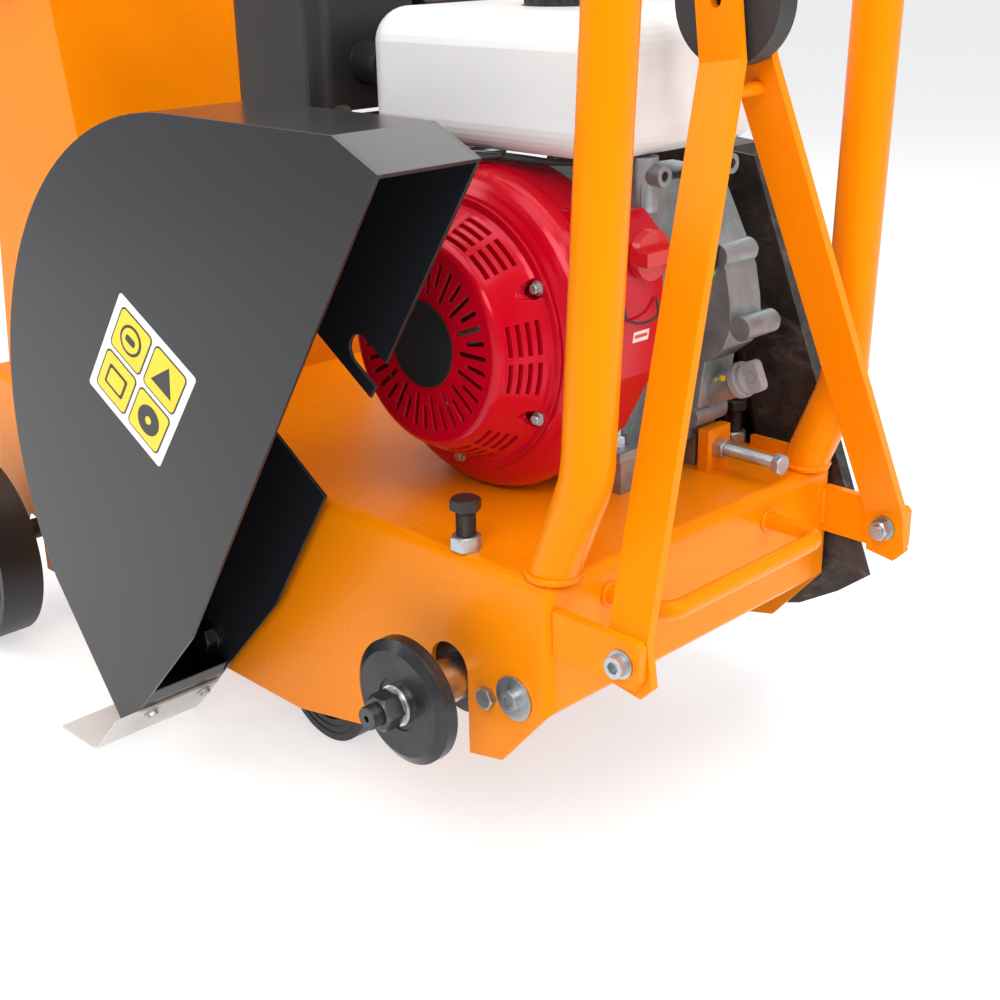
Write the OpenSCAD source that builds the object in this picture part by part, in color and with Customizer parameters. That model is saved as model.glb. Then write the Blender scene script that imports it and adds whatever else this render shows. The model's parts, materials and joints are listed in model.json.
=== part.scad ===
// Walk-behind concrete saw with a petrol engine, a belt-driven blade shaft,
// a hinged blade guard and a crank for the cutting depth.
// Design frame: +X forward, +Y to the machine's left, +Z up. All modules work
// from the deck: x = 0 at the front plate, z = 0 at the deck's top face.

/* [Deck] */
// Length of the deck
deck_length = 947; // [930:1:990]
// Width of the deck over its side plates
deck_width = 400; // [396:1:404]
// Height of the deck's top face above the ground
deck_height = 305; // [304:0.5:306]
// Sheet thickness of the deck
deck_sheet = 5; // [4:0.5:6]
// Radius of the folded edges
fold_r = 10; // [8:1:12]
// Height of the front plate
front_plate_h = 113; // [105:1:118]

/* [Tube frame] */
// Outer diameter of the frame tubes
tube_d = 42.4; // [38:0.1:45]
// Wall of the frame tubes
tube_wall = 3; // [2:0.5:4]
// Height of the tubes' rear bend above the deck
tube_top = 640; // [600:5:660]

/* [Engine] */
// Crankshaft's distance behind the front plate
crank_back = 210; // [208:1:212]
// Crankshaft's height above the deck
crank_up = 150; // [148:1:152]
// Radius of the cooling fan's housing
fan_housing_r = 150; // [145:1:152]
// Radius of the recoil cover's flange
recoil_r = 124; // [120:1:126]
// Slots around the recoil cover's face
recoil_slots = 36; // [24:2:40]

/* [Blade shaft] */
// Blade shaft's distance behind the front plate
arbor_back = 118; // [117:0.5:119]
// Blade shaft's depth under the deck's top face
arbor_down = 122.6; // [121:0.1:124]
// Radius of the blade flanges
flange_r = 57; // [50:1:58]
// Diameter of the blade shaft in its bearings
arbor_d = 40; // [36:1:44]

/* [Blade guard] */
// Width of the guard between its outer faces
guard_w = 100; // [90:1:102]
// Sheet thickness of the guard
guard_sheet = 3; // [2.5:0.5:4]
// Radius of the guard's rim
guard_r = 335; // [330:1:340]

/* [Wheels] */
// Radius of the front wheels
front_wheel_r = 68; // [66:0.5:69]
// Radius of the rear wheels
rear_wheel_r = 112; // [110:0.5:112]
// Distance of the front axle behind the front plate
front_axle_back = 372; // [370:1:376]
// Distance of the rear axle behind the front plate
rear_axle_back = 875; // [870:1:880]

/* [Hidden] */
$fn = 48;

// Colours
orange = [1.0, 0.55, 0.05];
guard_grey = [0.22, 0.23, 0.25];
engine_red = [0.8, 0.02, 0.08];
alloy = [0.7, 0.7, 0.7];
zinc = [0.78, 0.78, 0.8];
black_steel = [0.1, 0.1, 0.1];
bright_steel = [0.85, 0.85, 0.87];
tyre_black = [0.06, 0.06, 0.06];
cream = [0.92, 0.88, 0.86];
matt_black = [0.12, 0.11, 0.11];

// The part's origin is under the middle of its box, on the ground.
row_shift = [601.32, 14.8, deck_height];
eps = 0.01;
half_w = deck_width / 2;

// Ready-made positions, in the deck's frame
crank_x = -crank_back;
crank_z = crank_up;
arbor_x = -arbor_back;
arbor_z = -arbor_down;
wheel_f_x = -front_axle_back;
wheel_f_z = front_wheel_r - deck_height;
wheel_r_x = -rear_axle_back;
wheel_r_z = rear_wheel_r - deck_height;

module placed() translate(row_shift) children();

// Points of an arc in the plane, degrees, ends included
function arc(cx, cy, r, a0, a1, n = 8) =
    [for (i = [0:n]) [cx + r * cos(a0 + (a1 - a0) * i / n), cy + r * sin(a0 + (a1 - a0) * i / n)]];

// Points of a rectangle with round corners
function round_rect(x0, y0, x1, y1, r, n = 6) = concat(
    arc(x1 - r, y0 + r, r, -90, 0, n), arc(x1 - r, y1 - r, r, 0, 90, n),
    arc(x0 + r, y1 - r, r, 90, 180, n), arc(x0 + r, y0 + r, r, 180, 270, n));

// Straight round bars along each axis
module rod_y(x, z, y0, y1, r) translate([x, y0, z]) rotate([-90, 0, 0]) cylinder(r = r, h = y1 - y0);
module rod_x(y, z, x0, x1, r) translate([x0, y, z]) rotate([0, 90, 0]) cylinder(r = r, h = x1 - x0);
module rod_z(x, y, z0, z1, r) translate([x, y, z0]) cylinder(r = r, h = z1 - z0);

module ring_y(x, z, y0, y1, r_out, r_in)
    difference() {
        rod_y(x, z, y0, y1, r_out);
        rod_y(x, z, y0 - 1, y1 + 1, r_in);
    }

// An outline in the XZ plane, made solid from y0 to y1
module plate_y(points, y0, y1)
    translate([0, y1, 0]) rotate([90, 0, 0]) linear_extrude(y1 - y0) polygon(points);

// An outline in the YZ plane, made solid from x0 to x1
module plate_x(points, x0, x1)
    translate([x0, 0, 0]) rotate([90, 0, 90]) linear_extrude(x1 - x0) polygon(points);

// An outline in the XY plane, made solid from z0 to z1
module plate_z(points, z0, z1)
    translate([0, 0, z0]) linear_extrude(z1 - z0) polygon(points);

// Turns a shape made along +Z so that it points along dir
module facing(pos, dir)
    translate(pos)
        rotate(dir == "+x" ? [0, 90, 0] : dir == "-x" ? [0, -90, 0] : dir == "+y" ? [-90, 0, 0]
            : dir == "-y" ? [90, 0, 0] : dir == "-z" ? [180, 0, 0] : [0, 0, 0])
            children();

// A six-sided prism with a round-chamfered end
module hex_prism(af, h) {
    intersection() {
        cylinder(r = af / sqrt(3), h = h, $fn = 6);
        union() {
            cylinder(r = af / sqrt(3) + 1, h = h * 0.8);
            translate([0, 0, h * 0.8 - eps])
                cylinder(r1 = af / sqrt(3) + 0.1, r2 = af / 2 * 0.93, h = h * 0.2 + eps, $fn = 48);
        }
    }
}

// Hexagon bolt: head above z = 0, shank below
module hex_bolt(d, len, af, head_h) {
    hex_prism(af, head_h);
    translate([0, 0, -len]) cylinder(d = d, h = len + eps);
}

// Socket-head screw: head above z = 0, shank below
module socket_screw(d, len, head_h) {
    difference() {
        cylinder(d = d * 1.5, h = head_h);
        translate([0, 0, head_h * 0.4]) cylinder(d = d * 0.9, h = head_h, $fn = 6);
    }
    translate([0, 0, -len]) cylinder(d = d, h = len + eps);
}

// Nut with a bore
module hex_nut(af, h, bore_d)
    difference() {
        hex_prism(af, h);
        translate([0, 0, -1]) cylinder(d = bore_d, h = h + 2);
    }

module washer(d_out, d_in, h)
    difference() {
        cylinder(d = d_out, h = h);
        translate([0, 0, -1]) cylinder(d = d_in, h = h + 2);
    }

// Vector helpers for the bent tubes
function unit(v) = v / norm(v);
function angle_between(u, v) = acos(u * v);
function tangent_len(u, v, r) = r * tan(angle_between(u, v) / 2);

// A straight bar between two points
module bar_between(a, b, r) {
    d = b - a;
    translate(a) rotate([0, acos(d[2] / norm(d)), atan2(d[1], d[0])]) cylinder(r = r, h = norm(d));
}

// The elbow of radius br that turns direction u into v about corner c
module elbow(c, u, v, br, r) {
    th = angle_between(u, v);
    a = c - u * br * tan(th / 2);
    o = c + unit(v - u) * br / cos(th / 2);
    ex = unit(a - o);
    ez = cross(ex, u);
    multmatrix([
        [ex[0], u[0], ez[0], o[0]],
        [ex[1], u[1], ez[1], o[1]],
        [ex[2], u[2], ez[2], o[2]],
        [0, 0, 0, 1]])
        rotate_extrude(angle = th) translate([br, 0]) circle(r = r);
}

// How far straight stretches run into the bends, and how much fuller the bends are
lap = 3;
swell = 0.25;

// A round bar along points p, with bends of radius br, its ends grown by over
module bent_bar(p, br, r, over = 0) {
    n = len(p);
    dirs = [for (i = [0:n - 2]) unit(p[i + 1] - p[i])];
    for (i = [0:n - 2]) {
        start = i == 0 ? -over : tangent_len(dirs[i - 1], dirs[i], br) - lap;
        stop = i == n - 2 ? -over : tangent_len(dirs[i], dirs[i + 1], br) - lap;
        bar_between(p[i] + dirs[i] * start, p[i + 1] - dirs[i] * stop, r);
    }
    for (i = [1:n - 2]) elbow(p[i], dirs[i - 1], dirs[i], br, r + swell);
}

// ---------------------------------------------------------------- deck

side_drop = 240;
axle_slot_r = 20;
axle_slot_x = wheel_r_x + 2;
shaft_slot_r = 23;
shaft_slot_x = -120.3;
shaft_slot_top = -111;
deck_rear_drop = 150;

// Outline of the side plates
function side_outline() = concat(
    arc(-fold_r, -fold_r, fold_r, 90, 0),
    [[0, -front_plate_h], [-57, -179], [-101, -189], [-346, -side_drop],
     [-deck_length + 45, -side_drop], [-deck_length, -deck_rear_drop], [-deck_length, 0]]);

// Half section of the deck across the machine
function deck_section() = concat(
    [[-half_w, -side_drop - 1]],
    arc(-half_w + fold_r, -fold_r, fold_r, 180, 90),
    arc(half_w - fold_r, -fold_r, fold_r, 90, 0),
    [[half_w, -side_drop - 1]]);

// Plan of the deck with round front corners
function deck_plan() = concat(
    [[-deck_length, -half_w]],
    arc(-fold_r, -half_w + fold_r, fold_r, -90, 0),
    arc(-fold_r, half_w - fold_r, fold_r, 0, 90),
    [[-deck_length, half_w]]);

module open_slot(x, r, z_top, y0, y1) {
    rod_y(x, z_top, y0, y1, r);
    translate([x - r, y0, -side_drop - 10]) cube([2 * r, y1 - y0, z_top + side_drop + 10]);
}

guard_pivot = [-478, -200];
guard_pivot_r = 8;
jack_x = -109;
jack_y = 186;
jack_r = 8;
lift_pivot = [-620, -190];
lift_shaft_r = 12;
front_axle_r = 10;
hanger_y = [-166, -95, 88, 159];
rear_axle_r = 12.5;
bearing_bolt_x = [-72, -40];
bearing_bolt_z = [-123, -112];

// Plates that hang from the deck and carry the front axle
module axle_hangers()
    difference() {
        for (y = hanger_y)
            plate_y(concat([[wheel_f_x + 45, -deck_sheet + 0.5], [wheel_f_x - 45, -deck_sheet + 0.5]],
                arc(wheel_f_x, wheel_f_z, 17, 180, 360, 10)), y, y + 7);
        rod_y(wheel_f_x, wheel_f_z, -half_w, half_w, front_axle_r);
    }

module deck_frame() placed() color(orange) {
    axle_hangers();
    deck_sheet_metal();
}

module deck_sheet_metal()
    difference() {
        intersection() {
            plate_y(side_outline(), -half_w, half_w);
            plate_x(deck_section(), -deck_length - 1, 1);
            plate_z(deck_plan(), -side_drop - 1, 1);
        }
        translate([-deck_length + deck_sheet, -half_w + deck_sheet, -side_drop - 10])
            cube([deck_length - 2 * deck_sheet, deck_width - 2 * deck_sheet, side_drop + 10 - deck_sheet]);
        open_slot(shaft_slot_x, shaft_slot_r, shaft_slot_top, -half_w - 1, half_w + 1);
        open_slot(axle_slot_x, axle_slot_r, wheel_r_z, -half_w - 1, half_w + 1);
        rod_y(guard_pivot[0], guard_pivot[1], -half_w - 1, -half_w + 8, guard_pivot_r + 0.3);
        rod_y(lift_pivot[0], lift_pivot[1], -half_w - 1, half_w + 1, lift_shaft_r + 0.05);
        rod_z(spindle_x, 0, -20, 5, 12);
        for (s = [-1, 1]) rod_z(jack_x, s * jack_y, -20, 5, jack_r + 0.2);
        for (s = [-1, 1]) rod_y(bearing_bolt_x[0], bearing_bolt_z[0], s * half_w - 8, s * half_w + 8, 6.2);
        rod_y(bearing_bolt_x[1], bearing_bolt_z[1], -half_w - 8, -half_w + 8, 6.2);
    }

// ---------------------------------------------------------------- tube frame

tube_r = tube_d / 2;
tube_y = 177;
tube_base = [-23, tube_y, -12.1];
tube_foot_x = -16;
tube_knee = [20, tube_y, 92];
tube_peak = [40, 165, tube_top];
tube_rear = [-742, 150, 500];
tube_bend = 95;
eye_x = -352;
eye_r = 20;
eye_lift = 45;

function mirrored_y(p, s) = [p[0], s * p[1], p[2]];

// Height of the tubes' upper run at x, above the deck
function run_z(x) = tube_peak[2] + (tube_rear[2] - tube_peak[2]) * (tube_peak[0] - x) / (tube_peak[0] - tube_rear[0]);
function run_y(x) = tube_peak[1] + (tube_rear[1] - tube_peak[1]) * (tube_peak[0] - x) / (tube_peak[0] - tube_rear[0]);

function tube_path(s) = [for (p = [tube_base, tube_knee, tube_peak, tube_rear]) mirrored_y(p, s)];

module tube_frame() placed() color(orange)
    difference() {
        union() {
            for (s = [-1, 1]) bent_bar(tube_path(s), tube_bend, tube_r);
            for (s = [-1, 1]) rod_z(tube_foot_x, s * tube_y, 0, 3, tube_r + 2);
            rod_x_cross(eye_x);
            plate_y(concat(arc(eye_x, run_z(eye_x) + eye_lift, eye_r + 16, 0, 180),
                [[eye_x - eye_r - 16, run_z(eye_x)], [eye_x + eye_r + 16, run_z(eye_x)]]), -8, 8);
        }
        for (s = [-1, 1]) bent_bar(tube_path(s), tube_bend, tube_r - tube_wall);
        rod_y(eye_x, run_z(eye_x) + eye_lift, -20, 20, eye_r);
        // Both feet are cut level on the deck
        translate([-80, -half_w, -40]) cube([120, deck_width, 40]);
    }

// The tube across the frame that carries the lifting eye
module rod_x_cross(x)
    rod_y(x, run_z(x), -run_y(x) + tube_r - 3, run_y(x) - tube_r + 3, tube_r - 3);

// ---------------------------------------------------------------- rear tower

tower_y = 172;
tower_sheet = 3;
tower_h = 560;
tower_rear_foot = -935;
tower_front_foot = -652;
tower_rear_top = -861;
tower_front_top = -742;
spindle_x = -790;

function tower_outline() = [
    [tower_front_foot, 0.0], [tower_front_top, tower_h - 60], [tower_front_top - 12, tower_h],
    [tower_rear_top, tower_h], [tower_rear_foot, 0.0]];

// Folded sheet, open at the back and towards the deck
module rear_tower() placed() color(orange)
    difference() {
        union() {
            difference() {
                plate_y(tower_outline(), -tower_y, tower_y);
                translate([-6, 0, 0])
                    plate_y([for (p = tower_outline()) p[1] > tower_h - 1 ? [p[0], p[1] - tower_sheet] : p],
                        -tower_y + tower_sheet, tower_y - tower_sheet);
                plate_y([[tower_rear_foot - 40, 30], [tower_rear_foot + 40, 30],
                    [tower_rear_top + 30, tower_h - 30], [tower_rear_top - 60, tower_h - 30]],
                    -tower_y + 30, tower_y - 30);
            }
            // Deck flanges
            for (s = [-1, 1])
                translate([tower_rear_foot + 3, s * (tower_y - 14) - 14, 0])
                    cube([tower_front_foot - tower_rear_foot - 12, 28, tower_sheet]);
            // Bearing plate for the depth spindle
            translate([spindle_x - 40, -tower_y + 1, tower_h - 50])
                cube([80, 2 * tower_y - 2, 6]);
        }
        rod_z(spindle_x, 0, tower_h - 80, tower_h + 20, 12.05);
        for (s = [-1, 1])
            bar_between([for (i = [0:2]) mirrored_y(tube_peak, s)[i]],
                [for (i = [0:2]) mirrored_y(tube_rear, s)[i]] + [-60, 0, -10], tube_r + 0.6);
        rod_y(handle_pivot[0], handle_pivot[1], -tower_y - 1, tower_y + 1, handle_bolt_r + 0.05);
        rod_x(valve_y, hose_z, tower_front_foot - 40, tower_front_foot + 5, 9);
    }

// ---------------------------------------------------------------- front fittings

handle_r = 8;
handle_z = -28;
handle_reach = 60;
handle_y0 = -127;
handle_y1 = 95;

module carry_handle() placed() color(orange)
    bent_bar([[0, handle_y0, handle_z], [handle_reach, handle_y0, handle_z],
        [handle_reach, handle_y1, handle_z], [0, handle_y1, handle_z]], 22, handle_r);

pivot_x = 72.7;
pivot_z = -41;
bracket_t = 9;
bracket_out = half_w - 4;
bracket_y = bracket_out - bracket_t;
arm_t = 8;
arm_w = 40;
arm_gap = 0.4;
arm_y = bracket_y - arm_gap;
pointer_bolt_r = 6;

function bracket_outline(low) = concat(
    [[0, -20], [0, -low]], [[pivot_x + 14, -low]], [[pivot_x + 18, -low + 8], [pivot_x + 18, -24]],
    [[pivot_x + 14, -20]]);

module pointer_brackets() placed() color(orange)
    difference() {
        for (s = [-1, 1])
            plate_y(bracket_outline(s < 0 ? 60 : 66), s > 0 ? bracket_y : -bracket_out,
                s > 0 ? bracket_out : -bracket_y);
        rod_y(pivot_x, pivot_z, -half_w - 1, half_w + 1, pointer_bolt_r + 0.05);
    }

arm_lean = 7.4;
arm_foot_h = 18;
arm_len = 480;
apex_y = 16;
apex_s = 436;
pointer_wheel_r = 50;

// One folded flat bar: upright foot at the hinge, then inwards to the apex
function arm_section() = [
    [-arm_y, -32], [-arm_y + arm_t, -32], [-arm_y + arm_t, arm_foot_h - 3],
    [-apex_y, apex_s - 3], [-apex_y, arm_len + 18], [-apex_y - arm_t, arm_len + 18],
    [-apex_y - arm_t, apex_s], [-arm_y, arm_foot_h]];

module pointer_arms() placed() color(orange)
    translate([pivot_x, 0, pivot_z]) rotate([0, -arm_lean, 0])
        difference() {
            union() {
                for (s = [0, 1]) mirror([0, s, 0])
                    intersection() {
                        plate_x(arm_section(), -arm_w / 2, arm_w / 2);
                        plate_y([[-30, arm_len + 30], [30, arm_len + 30], [arm_w / 2, -22], [8, -31.9],
                            [-arm_w / 2, -24]], -half_w, 0);
                    }
                rod_y(0, 412, -28, 28, 6);
            }
            rod_y(0, 0, -half_w, half_w, pointer_bolt_r + 0.05);
            rod_y(0, arm_len, -half_w, half_w, 5.05);
        }

module pointer_bolts() placed() color(zinc)
    for (s = [0, 1]) mirror([0, s, 0])
        translate([pivot_x, 0, pivot_z]) {
            facing([0, -bracket_out - 2.5, 0], "-y") socket_screw(2 * pointer_bolt_r, bracket_t + arm_t + 18, 8);
            facing([0, -bracket_out, 0], "-y") washer(24, 12.1, 2.5);
            facing([0, -arm_y + arm_t + 0.3, 0], "+y") washer(24, 12.1, 2.5);
            facing([0, -arm_y + arm_t + 2.8, 0], "+y") hex_nut(18, 10, 12.02);
        }

module pointer_wheel() placed() color(tyre_black)
    translate([pivot_x, 0, pivot_z]) rotate([0, -arm_lean, 0]) {
        ring_y(0, arm_len, -11, 11, pointer_wheel_r, 16);
        ring_y(0, arm_len, -14, 14, 15.99, 5.06);
        rod_y(0, arm_len, -14.2, 14.2, 5.05);
    }

// ---------------------------------------------------------------- engine

rail_top = 31;
rail_y = [-4, 104];
rail_w = 28;
foot_x = [-112, -307];

module engine_rails() placed() color(alloy)
    difference() {
        for (y = rail_y) translate([-330, y, 0]) cube([236, rail_w, rail_top]);
        for (y = rail_y, x = foot_x) rod_z(x, y + rail_w / 2, -1, rail_top + 1, 5.2);
    }

module engine_foot_bolts() placed() color(zinc)
    for (y = rail_y, x = foot_x)
        translate([x, y + rail_w / 2, rail_top + 12]) {
            hex_nut(17, 9, 10.02);
            translate([0, 0, -26]) cylinder(r = 5, h = 42);
            translate([0, 0, -0.01]) mirror([0, 0, 1]) washer(22, 10.02, 1.95);
        }

case_y0 = -18;
case_y1 = 104;

module foot_holes()
    for (y = rail_y, x = foot_x) rod_z(x, y + rail_w / 2, rail_top - 1, rail_top + 60, 5.2);

// Outline shared by the crankcase's flange and its side cover
case_outline = [[-98, 62], [-76, 66], [-74, 88], [-70, 112], [-50, 128], [-42, 150], [-44, 172], [-50, 200],
    [-61, 222], [-76, 250], [-93, 281], [-150, 284], [-262, 262], [-282, 228], [-302, 150], [-302, 100], [-285, 62]];
lug_spots = [[-32, 150], [-87, 56], [-60, 212], [-100, 274], [-180, 272], [-266, 250], [-292, 140], [-280, 74]];
lug_r = 11;
lug_face = case_y1 + 26;
neck_foot = [-92, case_y1 + 8, 74.4];
neck_top = [-52, case_y1 + 8, 92];
neck_dir = unit(neck_top - neck_foot);
neck_r = 15;
bracket_spots = [3, 96];

module lug_holes(y0, y1)
    for (p = lug_spots) rod_y(p[0], p[1], y0, y1, 4.1);

module crankcase() placed() color(alloy)
    difference() {
        union() {
            rod_y(crank_x, crank_z, case_y0, case_y1, 100);
            plate_y(case_outline, case_y1 - 20, case_y1);
            for (p = lug_spots) rod_y(p[0], p[1], case_y1 - 20, case_y1, lug_r);
            translate([-292, case_y0 + 6, rail_top + 8]) cube([164, case_y1 - case_y0 - 12, 84]);
            for (x = foot_x) translate([x - 20, -8, rail_top]) cube([40, 140, 10]);
            translate([crank_x - 60, -4, 150]) cube([170, case_y1 - 4, 128]);
            cylinder_axis() cylinder(r = 54, h = cyl_start - 0.1);
            // Tank brackets with a cross-drilled ear each
            for (y = bracket_spots) {
                translate([-104, y - 11, 262]) cube([32, 22, 24]);
                rod_z(-80, y, 262, 307.9, 13);
                rod_x(y, 293, -84, -56, 9);
            }
        }
        foot_holes();
        for (y = bracket_spots) rod_x(y, 293, -70, -50, 4.4);
        translate([-130, case_y1, 250]) cube([80, 20, 36.5]);
        rod_y(crank_x, crank_z, case_y0 - 1, case_y1 + 1, 17.5);
        rod_y(crank_x, crank_z, case_y0 + 12, case_y1 - 12, 70);
        lug_holes(case_y1 - 16, case_y1 + 1);
        bar_between(neck_foot - neck_dir * 6, neck_top, neck_r + 0.2);
    }

module crankcase_cover() placed() color(alloy)
    difference() {
        union() {
            plate_y(case_outline, case_y1, case_y1 + 20);
            difference() {
                plate_y(case_outline, case_y1 + 19.9, case_y1 + 25);
                plate_y(shrunk(case_outline, [-178, 165], 0.92), case_y1 + 19, case_y1 + 26);
            }
            rod_y(crank_x, crank_z, case_y1 + 19, case_y1 + 36, 62);
            for (p = lug_spots) rod_y(p[0], p[1], case_y1, lug_face, lug_r);
            for (a = [20:40:340]) rotate_about_crank(a) translate([30, case_y1 + 15, -2.5]) cube([70, 10, 5]);
            for (i = [0:2]) translate([-84 + i * 11, case_y1 + 19, 120 + i * 4]) cube([4, 6, 70 - i * 12]);
            bar_between(neck_foot, neck_top, neck_r);
        }
        rod_y(crank_x, crank_z, case_y1 - 1, case_y1 + 60, 17.5);
        lug_holes(case_y1 - 1, lug_face + 1);
        bar_between(neck_top - neck_dir * 22, neck_top + neck_dir * 10, 10);
    }

module rotate_about_crank(a)
    translate([crank_x, 0, crank_z]) rotate([0, -a, 0]) children();

module cover_bolts() placed() color(zinc)
    for (p = lug_spots)
        facing([p[0], lug_face, p[1]], "+y") {
            cylinder(r = 8.5, h = 1.5);
            translate([0, 0, 1.4]) hex_prism(12, 6);
            translate([0, 0, -38]) cylinder(r = 4, h = 38 + eps);
        }

cyl_tilt = 65;
cyl_start = 106;

// Finned cylinder and head, leaning back from the crankcase
module cylinder_barrel() {
    cylinder(r = 56, h = 108);
    for (i = [0:7]) translate([-62, -58, 8 + i * 12]) cube([124, 116, 5]);
    translate([-66, -60, 108]) cube([132, 120, 40]);
    translate([-56, -48, 147]) cube([112, 96, 26]);
    translate([0, 0, 172]) cylinder(r = 16, h = 8);
}

module cylinder_axis() translate([crank_x, 44, crank_z]) rotate([0, -cyl_tilt, 0]) children();

module cylinder_node() placed() color(alloy) cylinder_axis() translate([0, 0, cyl_start]) cylinder_barrel();

module oil_cap() placed() color([0.55, 0.55, 0.56])
    translate([-52, case_y1 + 8, 92]) rotate([0, atan2(68, 30), 0])
        difference() {
            union() {
                translate([0, 0, 0.4]) cylinder(r = 17, h = 7);
                translate([0, 0, 7]) cylinder(r = 13.5, h = 5);
                plate_y(round_rect(-15, 6, 15, 28, 6), -5, 5);
                translate([0, 0, -18]) cylinder(r = 9.5, h = 19);
            }
            for (s = [-1, 1]) rod_y(0, 19, s * 5 - 1.5, s * 5 + 1.5, 6);
        }

fan_y0 = -92;

// Half section of the fan housing: radius against depth, front face at y = fan_y0
function fan_profile() = concat(
    [[0, 0], [recoil_r - 6, 0], [recoil_r + 2, 3]],
    arc(fan_housing_r - 30, 34, 30, -70, 0, 8),
    [[fan_housing_r, 73], [fan_housing_r - 3, 73], [fan_housing_r - 3, 40]],
    arc(fan_housing_r - 30, 34, 27, 0, -70, 6),
    [[recoil_r - 10, 8], [96, 8], [96, 3.5], [0, 3.5]]);

// Outline of the part of the housing that carries the switch
switch_box = [[-130, 268], [-66, 268], [-44, 248], [-44, 180], [-52, 130], [-84, 70], [-130, 66]];

module fan_housing() placed() color(engine_red)
    difference() {
        union() {
            translate([crank_x, fan_y0, crank_z]) rotate([-90, 0, 0])
                rotate_extrude() polygon(fan_profile());
            difference() {
                plate_y(switch_box, -62, -12);
                plate_y(shrunk(switch_box, [-100, 170], 0.95), -59, 0);
                rod_y(crank_x, crank_z, -100, 0, fan_housing_r - 3);
            }
        }
        rod_y(crank_x, crank_z, fan_y0 - 1, fan_y0 + 20, 96);
        rod_x(switch_y, switch_z, -60, -40, 6.2);
    }

recoil_face_r = 90;
recoil_depth = 46;

function recoil_profile() = concat(
    [[0, -recoil_depth], [recoil_face_r - 10, -recoil_depth]],
    arc(recoil_face_r - 4, -recoil_depth + 10, 10, -90, -18, 5),
    [[recoil_r - 10, -6], [recoil_r - 7, -3], [recoil_r, -3], [recoil_r, 0], [recoil_r - 12, 0]],
    [[recoil_face_r + 1, -recoil_depth + 14], [recoil_face_r - 8, -recoil_depth + 3], [0, -recoil_depth + 3]]);

module radial_slot(a, r0, r1)
    rotate([0, 0, a]) {
        translate([r0, -2.2, -recoil_depth - 4]) cube([r1 - r0, 4.4, 12]);
        for (r = [r0, r1]) translate([r, 0, -recoil_depth - 4]) cylinder(r = 2.2, h = 12, $fn = 24);
    }

// Four slots, one behind the other, through the sloping flank
module flank_slots(a, span)
    for (k = [0:3])
        translate([0, 0, -36 + k * 7.6])
            rotate([0, 0, a - span / 2])
                rotate_extrude(angle = span) translate([84, 0]) square([44, 3.6]);

bolt_angles = [30, -30, 90, -90, 150, 210];

module recoil_cover() placed() color(engine_red)
    translate([crank_x, fan_y0, crank_z]) rotate([-90, 0, 0])
        difference() {
            rotate_extrude() polygon(recoil_profile());
            for (i = [0:recoil_slots - 1])
                radial_slot(i * 360 / recoil_slots, i % 2 == 0 ? 48 : 58, 77);
            for (a = bolt_angles, s = [-1, 1]) flank_slots(a + 30 + s * 9.5, 15.5);
            for (a = bolt_angles) rotate([0, 0, a]) {
                translate([recoil_r - 9.5, 0, -60]) cylinder(r = 8.8, h = 57.3);
                translate([recoil_r - 9.5, 0, -10]) cylinder(r = 3.2, h = 12);
            }
        }

badge_r = 39;

module recoil_badge() placed() color(black_steel)
    rod_y(crank_x, crank_z, fan_y0 - recoil_depth - 1.2, fan_y0 - recoil_depth, badge_r);

module recoil_bolts() placed() color(zinc)
    translate([crank_x, fan_y0, crank_z]) rotate([-90, 0, 0])
        for (a = bolt_angles) rotate([0, 0, a]) translate([recoil_r - 9.5, 0, -2.75]) mirror([0, 0, 1]) {
            cylinder(r = 6.5, h = 1.2);
            translate([0, 0, 1.1]) hex_prism(8, 5);
        }

starter_x = crank_x - 88;
starter_z = crank_z + 96;
starter_y = fan_y0 - 22;

module starter_handle() placed() color(matt_black)
    translate([starter_x, starter_y, starter_z]) rotate([0, -42, 0]) {
        plate_y(round_rect(-34, 0.6, 34, 19, 8), -9, 9);
        translate([0, 0, -6]) cylinder(r = 2.5, h = 8);
    }

switch_y = -36;
switch_z = 236;

module engine_switch() placed() color(engine_red)
    facing([-43.6, switch_y, switch_z], "+x") {
        cylinder(r = 21, h = 9);
        translate([-6, -21, 8.9]) cube([12, 42, 11]);
        translate([0, 0, -12]) cylinder(r = 6.1, h = 12.1);
    }

tank_x = [-350, -55];
tank_y = [-75, 150];
tank_z = [308, 425];
cap_x = -200;
cap_y = 38;

module fuel_tank() placed() color(cream)
    difference() {
        hull()
            for (x = tank_x, y = tank_y) {
                sx = sign(x - cap_x);
                sy = sign(y - cap_y);
                translate([x - sx * 32, y - sy * 32, tank_z[0] + 28])
                    scale([32 / 28, 32 / 28, 1]) sphere(r = 28, $fn = 32);
                translate([x - sx * 32, y - sy * 32, tank_z[1] - 32]) sphere(r = 32, $fn = 32);
            }
        translate([cap_x, cap_y, tank_z[1] - 4]) cylinder(r = 40.2, h = 30);
    }

module fuel_cap() placed() color(matt_black)
    translate([cap_x, cap_y, tank_z[1] - 3.7]) {
        difference() {
            cylinder(r = 38, h = 24);
            for (a = [0:20:340]) rotate([0, 0, a]) translate([40.5, 0, 6]) cylinder(r = 4.5, h = 30, $fn = 24);
        }
    }

module air_cleaner() placed() color(matt_black)
    difference() {
        union() {
            plate_z(round_rect(-520, -100, -385, 30, 18), 330, 436);
            plate_z(round_rect(-514, -94, -391, 24, 14), 435.9, 448);
            rod_z(-452, -35, 447, 460, 11);
            rod_x(-40, 372, -386, -352, 20);
            // Bracket of the throttle lever
            plate_y([[-440, 335], [-405, 335], [-341, 292], [-341, 273], [-359, 273], [-440, 318]], -97.6, -93.6);
        }
        rod_y(-350, 282, -110, -80, 3.05);
    }

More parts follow.
